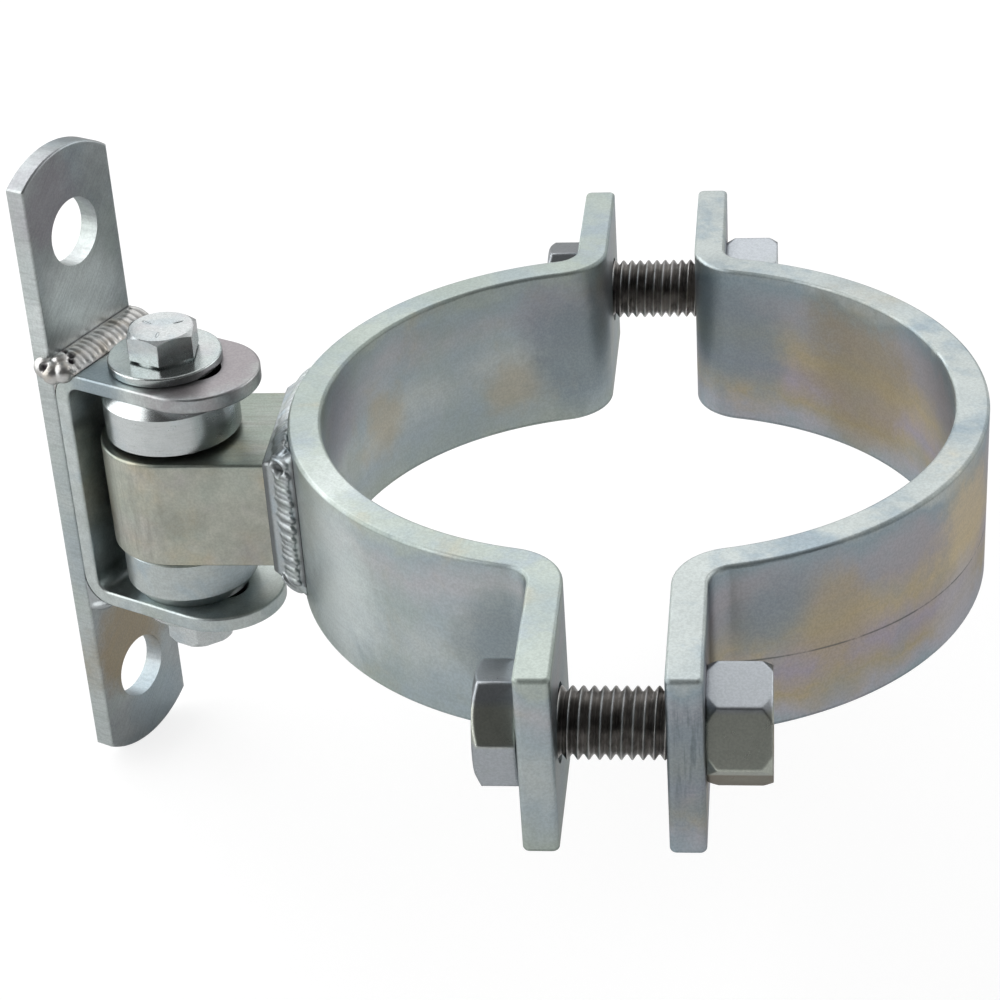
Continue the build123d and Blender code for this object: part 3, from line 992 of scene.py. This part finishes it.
class FinishBands(bpy.types.Operator):
    """Redraws the two clamp halves with clean edges and finishes them"""

    bl_idname = "gate_hinge.finish_bands"
    bl_label = "Finish Clamp Halves"

    def execute(self, context):
        coat = settings().finish
        band = settings().band
        rolling = Lines(UP, 1.3 * MM, 0.10, 0.25)
        # Rougher rolled edges that carry a faint painted shade line
        rolled = RolledEdgeShade(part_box("fixed_clamp_half")[1].z, band.edge, rgb(coat.green, 0.6))
        outer_radius = band.inner_radius + band.thickness
        near = min(along for along, away in spans_along("fixed_clamp_half", PIVOT, REACH))
        fixed = self.fixed_finish(coat, rolling, rolled)
        self.redraw("fixed_clamp_half", "knuckle", near + outer_radius, REACH, fixed)
        far = max(along for along, away in spans_along("loose_clamp_half", PIVOT, REACH))
        loose = self.loose_finish(coat, rolling, rolled)
        self.redraw("loose_clamp_half", "loose_clamp", far - outer_radius, -REACH, loose)
        return {"FINISHED"}

    def fixed_finish(self, coat, rolling, rolled):
        """Blue and green over pale zinc, with a little gold."""
        low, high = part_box("fixed_clamp_half")
        levels = stops(
            coat,
            (0.0, "green", 1.0),
            (0.2, "blue", 1.0),
            (0.42, "zinc", 1.0),
            (0.6, "blue", 1.05),
            (0.8, "lilac", 1.0),
            (0.93, "blue", 1.0),
            (1.0, "green", 1.15),
        )
        film = Film(UP, low.z, high.z, levels, 0.6, 0.6)
        haze = clouds(coat, ("blue", 1.0, 0.55, 30, 0.21), ("green", 1.0, 0.4, 22, 0.63))
        flecks = Cloud(rgb(coat.gold), 0.28, 17 * MM, 0.94, 0.55, 0.72)
        stains = patches(
            coat,
            from_pivot,
            ("zinc", 1.4, 0.75, (42.0, -42.0, 2.0), 32),
            ("gold", 1.0, 0.5, (46.6, 33.9, -2.6), 12),
            ("gold", 1.0, 0.5, (77.6, 63.0, -8.4), 12),
            ("violet", 1.0, 0.4, (39.0, 12.6, 9.4), 15),
            ("violet", 1.0, 0.4, (88.9, 67.3, 8.8), 15),
            ("gold", 1.0, 0.2, (84.7, -74.3, 1.8), 14),
            # Darker blue on the inner face by the back bend is painted shade
            ("blue", 0.72, 0.75, (94.0, 72.0, 0.0), 22),
            ("blue", 0.7, 0.75, (90.0, -76.0, 2.0), 18),
        )
        tints = [film, *haze, flecks, *stains]
        return plated("plated_fixed_half", coat.zinc, coat.satin, tints, [rolling, rolled])

    def loose_finish(self, coat, rolling, rolled):
        """Bands of gold, violet and lilac, with a scratched line round the outside."""
        low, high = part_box("loose_clamp_half")
        levels = stops(
            coat,
            (0.0, "blue", 1.05),
            (0.10, "lilac", 1.0),
            (0.22, "gold", 0.92),
            (0.36, "violet", 1.1),
            (0.52, "gold", 1.0),
            (0.68, "pink", 0.85),
            (0.80, "lilac", 0.9),
            (0.93, "blue", 0.95),
            (1.0, "zinc", 1.0),
        )
        film = Film(UP, low.z, high.z, levels, 0.92, 0.5)
        haze = clouds(coat, ("blue", 0.9, 0.35, 24, 0.83))
        stains = patches(
            coat,
            from_pivot,
            ("gold", 1.35, 0.8, (192.0, -30.0, 5.0), 22),
            ("lilac", 1.2, 0.7, (190.5, -33.8, -15.0), 18),
            ("gold", 0.9, 0.7, (160.0, -66.5, 2.0), 15),
            ("blue", 0.75, 0.7, (147.0, -73.0, 8.0), 13),
            ("gold", 0.7, 0.7, (168.9, 50.2, -0.8), 28),
            # Darker blue on the inner face by the back bend is painted shade
            ("blue", 0.75, 0.8, (133.0, 69.5, 2.0), 26),
            ("blue", 0.72, 0.8, (124.0, -119.4, 0.0), 22),
        )
        streaks = Patch(rgb(coat.blue, 0.42), 0.65, from_pivot(127.0, -119.4, 4.0), 17 * MM, UP)
        scribe = Scribe(
            point=from_pivot(146.6, -73.2, -3.6),
            normal=(UP + REACH * 0.068).normalized(),
            axis_point=from_pivot(120.4, 0.0, 0.0),
            inner_radius=75.5 * MM,
            outer_radius=81.0 * MM,
            side=(REACH - ACROSS * 0.6).normalized(),
            width=0.3 * MM,
        )
        tints = [film, *haze, *stains, streaks]
        return plated("plated_loose_half", coat.zinc, coat.satin, tints, [rolling, scribe, rolled])

    def redraw(self, node, body, along, reach, material):
        """Stands a clamp half of the same form in for the node, whose packed facets leave its edges stepped."""
        band = settings().band
        centre = PIVOT + REACH * along
        carrier = piece_from(clamp_body(band, centre, reach), node + "_solid")
        drill = piece_from(bolt_drill(band, centre), node + "_drill")
        holes = carrier.modifiers.new("holes", "BOOLEAN")
        holes.operation = "DIFFERENCE"
        holes.object = drill
        data = plain_mesh(carrier, node + "_drilled")
        bpy.data.objects.remove(drill)
        data.materials.clear()
        data.materials.append(material)
        stand_in(smooth_piece(data, node + "_smooth"), node, body)


class FinishKnuckle(bpy.types.Operator):
    """Finishes the link, its collars and the pivot's bolt, nut and washers"""

    bl_idname = "gate_hinge.finish_knuckle"
    bl_label = "Finish Knuckle"

    def execute(self, context):
        coat = settings().finish
        dress(self.link_finish(coat), "link")
        turned = Lines(UP, 0.35 * MM, 0.16, 0.5)
        haze = clouds(coat, ("blue", 1.15, 0.4, 12, 0.29))
        upper = plated(
            "turned_upper_collar", coat.bright_zinc, coat.polish, haze, [turned],
            mottle_depth=0.04, relief=0.03, wander=0.25, speck=0.1,
        )
        dress(upper, "upper_collar")
        haze = clouds(coat, ("blue", 1.15, 0.6, 12, 0.66))
        lower = plated(
            "turned_lower_collar", coat.zinc, coat.satin, haze, [turned], mottle_depth=0.06, wander=0.4
        )
        dress(lower, "lower_collar")
        smooth = {"mottle_depth": 0.06, "relief": 0.03, "wander": 0.4}
        haze = clouds(coat, ("pink", 1.0, 0.5, 12, 0.81), ("blue", 1.0, 0.3, 9, 0.07))
        washer = plated("plated_washer", coat.zinc, coat.polish, haze, **smooth)
        dress(washer, "upper_pivot_washer", "lower_pivot_washer")
        haze = clouds(coat, ("pink", 1.15, 0.4, 9, 0.35), ("blue", 1.15, 0.35, 8, 0.59))
        fastener = plated("plated_pivot_hardware", coat.bright_zinc, coat.polish, haze, **smooth)
        dress(fastener, "pivot_bolt", "pivot_nut")
        self.mark_head(fastener)
        return {"FINISHED"}

    def link_finish(self, coat):
        """Warm grey with gold, pink and green haze, and a green top."""
        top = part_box("link")[1].z
        wall = clear(coat.green)
        film = Film(UP, -top, top, [(0.0, wall), (0.96, wall), (0.99, rgb(coat.green, 0.72))], 0.9, 0.01)
        haze = clouds(
            coat,
            ("gold", 1.05, 0.45, 16, 0.47),
            ("pink", 1.0, 0.35, 14, 0.18),
            ("green", 1.0, 0.4, 20, 0.71),
        )
        grinding = Lines(ACROSS, 0.8 * MM, 0.34, 0.6)
        return plated("plated_link", coat.warm_zinc, coat.satin, [film, *haze], [grinding])

    def mark_head(self, fastener):
        """Sets the raised strokes on the pivot bolt's head."""
        carrier = bpy.data.meshes.new("marks_carrier")
        marks = grown(mark_tree(), carrier, HEAD_MARKS | {"Material": fastener}, "pivot_head_marks")
        head_top = Vector((PIVOT.x, PIVOT.y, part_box("pivot_bolt")[1].z))
        marks.transform(Matrix.Translation(head_top) @ Matrix.Rotation(HEAD_MARKS_TURN, 4, "Z"))
        piece = piece_from(marks, "pivot_head_marks")
        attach(piece, "pivot_set")


class FinishBearings(bpy.types.Operator):
    """Finishes the bearings, their seals and the sleeve between them"""

    bl_idname = "gate_hinge.finish_bearings"
    bl_label = "Finish Bearings"

    def execute(self, context):
        coat = settings().finish
        ground = [Lines(UP, 0.3 * MM, 0.12, 0.4)]
        steel = plated("ground_bearing_steel", coat.bright_zinc, coat.polish, marks=ground, relief=0.05)
        brass = plated("pressed_brass", coat.brass, coat.satin, marks=ground)
        rubber = plated("moulded_rubber", coat.rubber, coat.seal, relief=0.2, metallic=0.0)
        for side in ("upper", "lower"):
            bearing = f"{side}_bearing"
            dress(steel, f"{bearing}_inner_race", f"{bearing}_outer_race", f"{bearing}_balls")
            dress(brass, f"{bearing}_cage")
            dress(rubber, f"{bearing}_outer_seal", f"{bearing}_inner_seal")
        dress(steel, "pivot_sleeve")
        return {"FINISHED"}


def thread_finish(coat):
    """Dark oiled thread with a painted highlight along its crests."""
    material, graph = new_finish("oiled_thread")
    place = graph.place()
    oiled = graph.noise(place, 4.0 * MM, 5.0, 0.6)
    fine = graph.noise(place, 0.4 * MM, 3.0, 0.6)
    # Painted highlight on the crests, found by the mesh's rise
    crest_highlight = graph.band(graph.attribute("rise") + (oiled - 0.5) * 0.25, 0.84, 1.02)
    oil = graph.mix(graph.band(oiled, 0.35, 0.65), rgb(coat.thread, 0.7), rgb(coat.thread, 1.4))
    colour = graph.mix(crest_highlight * 0.85, oil, rgb(coat.crest))
    bump = graph.add("ShaderNodeBump", {}, {"Strength": 0.12, "Distance": 0.1 * MM, "Height": fine})
    sockets = {"Base Color": colour, "Roughness": 0.24 + oiled * 0.2, "Metallic": 1.0, "Normal": bump}
    surface = graph.add("ShaderNodeBsdfPrincipled", {}, sockets)
    graph.add("ShaderNodeOutputMaterial", {}, {"Surface": surface})
    return material


class CutThreads(bpy.types.Operator):
    """Makes the clamp bolts with a cut thread, and finishes their nuts"""

    bl_idname = "gate_hinge.cut_threads"
    bl_label = "Cut Clamp Bolts"

    def execute(self, context):
        coat = settings().finish
        # On the bolt heads the ice and olive facets by height are painted reflection and painted shade
        head = self.hexagon_painted_light_finish(
            coat, "plated_bolt_head",
            (0.0, "ice", 1.0),
            (0.58, "ice", 1.0),
            (0.64, "olive", 1.1),
            (0.84, "olive", 1.1),
            (0.9, "ice", 0.85),
            (1.0, "ice", 0.85),
        )
        # On the nuts the dark brown low facets are painted shade and the ice top facets painted reflection
        nut = self.hexagon_painted_light_finish(
            coat, "plated_clamp_nut",
            (0.0, "brown", 0.5),
            (0.28, "brown", 0.62),
            (0.31, "olive", 1.22),
            (0.84, "olive", 1.22),
            (0.88, "ice", 1.0),
            (1.0, "ice", 1.0),
        )
        dress(nut, "front_clamp_nut", "back_clamp_nut")
        dark = thread_finish(coat)
        tree = thread_tree()
        for side in ("front", "back"):
            self.cut(side, tree, head, dark)
        return {"FINISHED"}

    def hexagon_painted_light_finish(self, coat, name, *levels):
        """Olive plating whose facets take their tint from their height, as painted reflection and painted
        shade.
        """
        low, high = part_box("front_clamp_nut")
        film = Film(UP, low.z, high.z, stops(coat, *levels), 0.85, 0.03)
        haze = clouds(coat, ("green", 0.95, 0.2, 12, 0.58))
        return plated(
            name, coat.olive, coat.hexagon, [film, *haze],
            mottle_depth=0.05, relief=0.03, wander=0.4, edge=coat.hexagon_edge,
        )

    def cut(self, side, tree, hexagon, dark):
        """Stands a threaded shank under the head of a packed bolt."""
        node = f"{side}_clamp_bolt"
        thread = settings().thread
        axis_point = bolt_axis(side)
        spans = list(spans_along(node, axis_point, REACH))
        tip = max(along for along, away in spans)
        crest = max(away for along, away in spans if along > tip - TIP_LENGTH)
        seat = max(along for along, away in spans if away > crest * HEAD_SHARE)
        bolt = self.shank(f"{side}_thread", tree, thread, crest, tip - seat, dark)
        turned = Matrix((ACROSS.cross(REACH), ACROSS, REACH)).transposed().to_4x4()
        stand = Matrix.Translation(axis_point + REACH * seat) @ turned
        bmesh.ops.transform(bolt, matrix=stand, verts=bolt.verts)
        bmesh.ops.recalc_face_normals(bolt, faces=bolt.faces)
        in_slot(bolt, THREAD_SLOT)
        head = merged_copy(node)
        cut_off(head, axis_point + REACH * (seat + STUB), REACH)
        in_slot(head, HEAD_SLOT)
        take_in(bolt, mesh_from(head, "head_part"))
        data = mesh_from(bolt, node + "_raw")
        data.materials.append(hexagon)
        data.materials.append(dark)
        rise = data.attributes.new("rise", "FLOAT", "POINT")
        for vertex in data.vertices:
            offset = vertex.co - axis_point
            away = (offset - REACH * offset.dot(REACH)).length
            rise.data[vertex.index].value = 1.0 - (crest - away) / thread.depth
        stand_in(smooth_piece(data, node + "_threaded"), node, "knuckle")

    def shank(self, name, tree, thread, crest, length, dark):
        """A threaded shank on the origin, cut square at its tip and a stub below its seat."""
        sizes = {"Pitch": thread.pitch, "Crest Radius": crest, "Depth": thread.depth, "Material": dark}
        sizes |= {"Turns": length / thread.pitch + 2.0}
        sizes |= {"Tip Height": length + thread.pitch, "Tip Radius": crest - thread.bevel}
        data = grown(tree, bpy.data.meshes.new("thread_carrier"), sizes, name)
        data.transform(Matrix.Translation((0, 0, -thread.pitch)))
        shank = bmesh.new()
        take_in(shank, data)
        cut_off(shank, Vector((0, 0, -STUB)), -UP)
        cut_off(shank, Vector((0, 0, length)), UP)
        return shank


@dataclass
class Ripple:
    """One scale of weld metal, or one round lobe of it."""

    centre: Vector
    facing: Vector
    along: Vector
    size: float = 1.0
    round: bool = False


@dataclass
class Pit:
    """A dent in a bead."""

    centre: Vector
    radius: float
    depth: float


def ripple_carrier(ripples):
    """Points for the ripple tree, each leaning back along the bead."""
    data = bpy.data.meshes.new("ripple_carrier")
    data.from_pydata([ripple.centre for ripple in ripples], [], [])
    kinds = {"facing": "FLOAT_VECTOR", "along": "FLOAT_VECTOR", "size": "FLOAT", "round": "FLOAT"}
    for name, kind in kinds.items():
        data.attributes.new(name, kind, "POINT")
    # Fetched once all are there, because a new attribute may move the others
    facing, along, size, lobe = (data.attributes[name].data for name in kinds)
    for index, ripple in enumerate(ripples):
        facing[index].vector = ripple.facing * cos(RIPPLE_TILT) + ripple.along * sin(RIPPLE_TILT)
        along[index].vector = ripple.along * cos(RIPPLE_TILT) - ripple.facing * sin(RIPPLE_TILT)
        size[index].value = ripple.size
        lobe[index].value = float(ripple.round)
    return data


class RunBeads(bpy.types.Operator):
    """Runs the rippled weld beads of the bracket and the link"""

    bl_idname = "gate_hinge.run_beads"
    bl_label = "Run Weld Beads"

    def execute(self, context):
        coat = settings().finish
        weld = settings().weld
        haze = clouds(coat, ("brown", 1.2, 0.34, 5, 0.15), ("blue", 0.9, 0.2, 4, 0.44))
        # The bright bead and the plated bead both paint shade along their toes and in their pits
        bright = plated(
            "bright_weld", coat.weld, coat.bright_weld, haze, [BeadShade(rgb(coat.violet, 0.22))],
            mottle_depth=0.08, relief=0.06, speck=0.1,
        )
        worn = {"mottle_depth": 0.1, "relief": 0.06, "speck": 0.15}
        dull = plated("dull_weld", coat.plate_zinc, coat.dull_weld, **worn)
        haze = clouds(coat, ("blue", 1.0, 0.5, 6, 0.25), ("green", 1.0, 0.4, 5, 0.64))
        # Painted shade along the link bead's toes and in its pits
        grime = BeadShade(rgb(coat.plate_zinc, 0.5))
        metal = rgb(coat.plate_zinc, 1.15)
        coated = plated("plated_weld", metal, coat.plated_weld, haze, [grime], **worn)
        tree = ripple_tree()
        self.bracket_bead("upper", 1.0, tree, weld, bright)
        self.bracket_bead("lower", -1.0, tree, weld, dull)
        self.link_bead(tree, weld, coated)
        return {"FINISHED"}

    def bracket_bead(self, side, sign, tree, weld, material):
        """The bead between an ear and the plate, laid flatter than its node; the upper one ends in a blob."""
        node = f"{side}_bracket_weld"
        low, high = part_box(node)
        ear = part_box("hinge_bracket")[1].z
        climb = (max(high.z, -low.z) - ear) * weld.lie
        bead = merged_copy(node)
        for vertex in bead.verts:
            above = abs(vertex.co.z) - ear
            if above > 0.0:
                vertex.co.z = sign * (ear + above * weld.lie)
        middle = Vector(((low.x + high.x) / 2, 0.0, sign * (ear + climb / 2)))
        facing = Vector((climb, 0.0, sign * (high.x - low.x))).normalized()
        along = Vector((0.0, -1.0, 0.0))
        count = round((high.y - low.y) / weld.bracket_spacing)
        step = (high.y - low.y - 2.0 * BEAD_MARGIN) / count
        ripples = []
        for index in range(count + 1):
            across = Vector((0.0, high.y - BEAD_MARGIN - step * index, 0.0))
            ripples.append(Ripple(middle + across - facing * weld.sink, facing, along))
        pits = []
        if sign > 0:
            corner = Vector((low.x, low.y, ear))
            for offset, size in END_LOBES:
                ripples.append(Ripple(corner + Vector(offset) * MM, facing, along, size, True))
            for offset, radius, depth in END_PITS:
                pits.append(Pit(corner + Vector(offset) * MM, radius * MM, depth * MM))
        shape = {"Length": weld.bracket_length, "Breadth": weld.bracket_breadth}
        shape |= {"Height": weld.bracket_height, "Spread": weld.bracket_spread}
        self.fuse(node, "bracket", bead, ripples, pits, tree, shape, material)

    def link_bead(self, tree, weld, material):
        """The bead round the link's end, on the band's wall, with a crater near the top of its front run."""
        bead = merged_copy("link_weld")
        band = merged_copy("fixed_clamp_half")
        wall = BVHTree.FromBMesh(band)
        band.free()
        plain = BVHTree.FromBMesh(bead)
        top = max(vertex.co.z for vertex in bead.verts)
        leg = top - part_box("link")[1].z
        half = max(abs((vertex.co - PIVOT).dot(ACROSS)) for vertex in bead.verts)
        corners = [(-1, -1), (1, -1), (1, 1), (-1, 1)]
        spots = [ACROSS * side * (half - leg / 2) + UP * level * (top - leg / 2) for side, level in corners]
        ripples = []
        for start, end in zip(spots, spots[1:] + spots[:1]):
            run = end - start
            along = run.normalized()
            facing = (along.cross(REACH) - REACH).normalized()
            count = round(run.length / weld.link_spacing)
            for step in range(count):
                touch = wall.ray_cast(PIVOT + start + run * (step / count), REACH)[0] - REACH * leg / 2
                surface = plain.ray_cast(touch + facing * leg, -facing)[0]
                ripples.append(Ripple(surface - facing * weld.sink, facing, along))
        forward, aside, below = CRATER_PLACE
        broken_off = from_pivot(forward, aside, 0.0) + UP * (top - below * MM)
        crater = min((ripple.centre for ripple in ripples), key=lambda centre: (centre - broken_off).length)
        pits = [
            Pit(crater - UP * below * MM, radius * MM, depth * MM) for below, radius, depth in CRATER_PITS
        ]
        shape = {"Length": weld.link_length, "Breadth": weld.link_breadth}
        shape |= {"Height": weld.link_height, "Spread": weld.link_spread}
        self.fuse("link_weld", "knuckle", bead, ripples, pits, tree, shape, material)

    def fuse(self, node, body, bead, ripples, pits, tree, shape, material):
        """Grows the ripples on a bead, fuses both into one skin and stands it in for the node."""
        weld = settings().weld
        inputs = shape | {"Seed": weld.seed, "Material": material}
        take_in(bead, grown(tree, ripple_carrier(ripples), inputs, node + "_ripples"))
        carrier = piece_from(mesh_from(bead, node + "_raw"), node + "_raw")
        fusing = carrier.modifiers.new("fuse", "REMESH")
        fusing.mode = "VOXEL"
        fusing.voxel_size = weld.voxel
        fusing.use_smooth_shade = True
        easing = carrier.modifiers.new("ease", "SMOOTH")
        easing.factor = EASE_FACTOR
        easing.iterations = EASE_PASSES
        data = plain_mesh(carrier, node + "_bead")
        self.weather(data, ripples, pits, shape["Breadth"])
        data.materials.clear()
        data.materials.append(material)
        stand_in(piece_from(data, node + "_bead"), node, body)

    def weather(self, data, ripples, pits, breadth):
        """Roughens a bead, dents it and notes the painted shade in its dents and along its toes."""
        finder = KDTree(len(ripples))
        for index, ripple in enumerate(ripples):
            finder.insert(ripple.centre, index)
        finder.balance()
        grime = data.attributes.new("grime", "FLOAT", "POINT").data
        normals = [vertex.normal.copy() for vertex in data.vertices]
        for vertex, normal in zip(data.vertices, normals):
            ripple = ripples[finder.find(vertex.co)[1]]
            aside = abs((vertex.co - ripple.centre).dot(ripple.facing.cross(ripple.along))) / breadth
            # Painted shade along a scale's toes; the pits below add more
            shade_level = 0.0 if ripple.round else max(0.0, aside - TOE_START) * TOE_SHADE
            place = vertex.co / SKIN_SIZE
            rough = sum(noise.noise(place * finer) * depth for finer, depth in SKIN_DEPTHS)
            vertex.co += normal * rough * MM
            for pit in pits:
                reach = (vertex.co - pit.centre).length / pit.radius
                if reach < 1.0:
                    vertex.co -= normal * pit.depth * (1.0 - reach * reach) ** 2
                    shade_level = max(shade_level, PIT_SHADE - reach)
            grime[vertex.index].value = min(1.0, shade_level)


# Stage

def soft_lamp(name, aim, direction, distance, width, height, radiance):
    """A rectangular lamp that faces the hinge and shows its radiance in bright metal."""
    data = bpy.data.lights.new(name, "AREA")
    data.shape = "RECTANGLE"
    data.size = width
    data.size_y = height
    data.energy = radiance * pi * width * height
    lamp = bpy.data.objects.new(name, data)
    lamp.location = aim + direction.normalized() * distance
    lamp.rotation_euler = direction.to_track_quat("Z", "Y").to_euler()
    lamp.visible_camera = False
    bpy.context.scene.collection.objects.link(lamp)


class SetStage(bpy.types.Operator):
    """Sets the floor, the lamps, the sky and the camera"""

    bl_idname = "gate_hinge.set_stage"
    bl_label = "Set Stage"

    def execute(self, context):
        stage = settings().stage
        right = REACH * cos(stage.yaw) - ACROSS * sin(stage.yaw)
        away = REACH * sin(stage.yaw) + ACROSS * cos(stage.yaw)
        aim = from_pivot(*stage.aim)
        self.floor(stage)
        self.sky(stage, away)
        for name, ((rightward, backward, upward), *sizes) in LAMPS.items():
            soft_lamp(name, aim, right * rightward + away * backward + UP * upward, *sizes)
        self.camera(stage, right, away, aim)
        context.scene.view_settings.view_transform = "Standard"
        return {"FINISHED"}

    def floor(self, stage):
        """A pale floor that looks nearly white to the camera and still takes the hinge's shadow."""
        signs = ((-1, -1), (1, -1), (1, 1), (-1, 1))
        data = bpy.data.meshes.new("floor")
        corners = [(FLOOR_REACH * x, FLOOR_REACH * y, CAD_BOX[0].z) for x, y in signs]
        data.from_pydata(corners, [], [(0, 1, 2, 3)])
        material, graph = new_finish("floor_paper")
        ray = graph.add("ShaderNodeLightPath", out="Is Camera Ray")
        mirrored = ray.sibling("Is Glossy Ray") * stage.mirror
        seen = (ray + mirrored + ray.sibling("Is Transmission Ray")).at_most(1.0)
        fibre = graph.noise(graph.place(), 1.5 * MM, 3.0)
        paper = graph.mix(fibre, grey(stage.paper * 0.97), grey(stage.paper * 1.03))
        lit = graph.add("ShaderNodeBsdfDiffuse", {}, {"Color": paper})
        glow = graph.add("ShaderNodeEmission", {}, {"Color": WHITE, "Strength": stage.glow})
        shade = graph.add("ShaderNodeBsdfDiffuse", {}, {"Color": grey(stage.shade)})
        shown = graph.add("ShaderNodeAddShader", {}, {0: glow, 1: shade})
        surface = graph.add("ShaderNodeMixShader", {}, {0: seen, 1: lit, 2: shown})
        graph.add("ShaderNodeOutputMaterial", {}, {"Surface": surface})
        data.materials.append(material)
        piece_from(data, "floor")

    def sky(self, stage, away):
        """A sky that is darker on the camera's side, and white to the camera itself."""
        world = bpy.data.worlds.new("studio")
        world.use_nodes = True
        bpy.context.scene.world = world
        graph = Graph(world.node_tree)
        toward = graph.add("ShaderNodeTexCoord", out="Generated")
        depth = graph.band(graph.dot(toward, away), -0.75, 0.75)
        tone = graph.mix(depth, grey(stage.front_sky), grey(stage.back_sky))
        ray = graph.add("ShaderNodeLightPath", out="Is Camera Ray")
        shown = graph.mix(ray, tone, WHITE)
        sky = graph.add("ShaderNodeBackground", {}, {"Color": shown, "Strength": 1.0})
        graph.add("ShaderNodeOutputWorld", {}, {"Surface": sky})

    def camera(self, stage, right, away, aim):
        """The photograph's point of view."""
        forward = away * cos(stage.pitch) - UP * sin(stage.pitch)
        upward = right.cross(forward)
        side = right * cos(stage.roll) + upward * sin(stage.roll)
        top = upward * cos(stage.roll) - right * sin(stage.roll)
        data = bpy.data.cameras.new("camera")
        data.lens = stage.lens
        data.sensor_width = SENSOR_WIDTH
        data.clip_start = 0.05
        data.clip_end = 100.0
        camera = bpy.data.objects.new("camera", data)
        turn = Matrix((side, top, -forward)).transposed()
        camera.matrix_world = Matrix.Translation(aim - forward * stage.distance) @ turn.to_4x4()
        bpy.context.scene.collection.objects.link(camera)
        bpy.context.scene.camera = camera


# Panel and registration

class HingePanel(bpy.types.Panel):
    """Lists the steps and settings of the finish"""

    bl_idname = "VIEW3D_PT_gate_hinge"
    bl_label = "Gate Hinge"
    bl_space_type = "VIEW_3D"
    bl_region_type = "UI"
    bl_category = "Gate Hinge"

    def draw(self, context):
        for step in STEPS:
            self.layout.operator(step.bl_idname)
        for name in ("finish", "band", "thread", "weld", "stage"):
            box = self.layout.box()
            group = getattr(context.scene.gate_hinge, name)
            for prop in group.bl_rna.properties:
                if prop.identifier not in ("rna_type", "name"):
                    box.prop(group, prop.identifier)


GROUPS = (FinishSettings, BandSettings, ThreadSettings, WeldSettings, StageSettings, HingeSettings)
STEPS = (FinishPlate, FinishBands, FinishKnuckle, FinishBearings, CutThreads, RunBeads, SetStage)
CLASSES = (*GROUPS, *STEPS, HingePanel)


def register():
    for cls in CLASSES:
        bpy.utils.register_class(cls)
    bpy.types.Scene.gate_hinge = PointerProperty(type=HingeSettings)


def unregister():
    del bpy.types.Scene.gate_hinge
    for cls in reversed(CLASSES):
        bpy.utils.unregister_class(cls)


def main():
    register()
    bpy.ops.gate_hinge.finish_plate()
    bpy.ops.gate_hinge.finish_bands()
    bpy.ops.gate_hinge.finish_knuckle()
    bpy.ops.gate_hinge.finish_bearings()
    bpy.ops.gate_hinge.cut_threads()
    bpy.ops.gate_hinge.run_beads()
    bpy.ops.gate_hinge.set_stage()


if __name__ == "__main__":
    main()
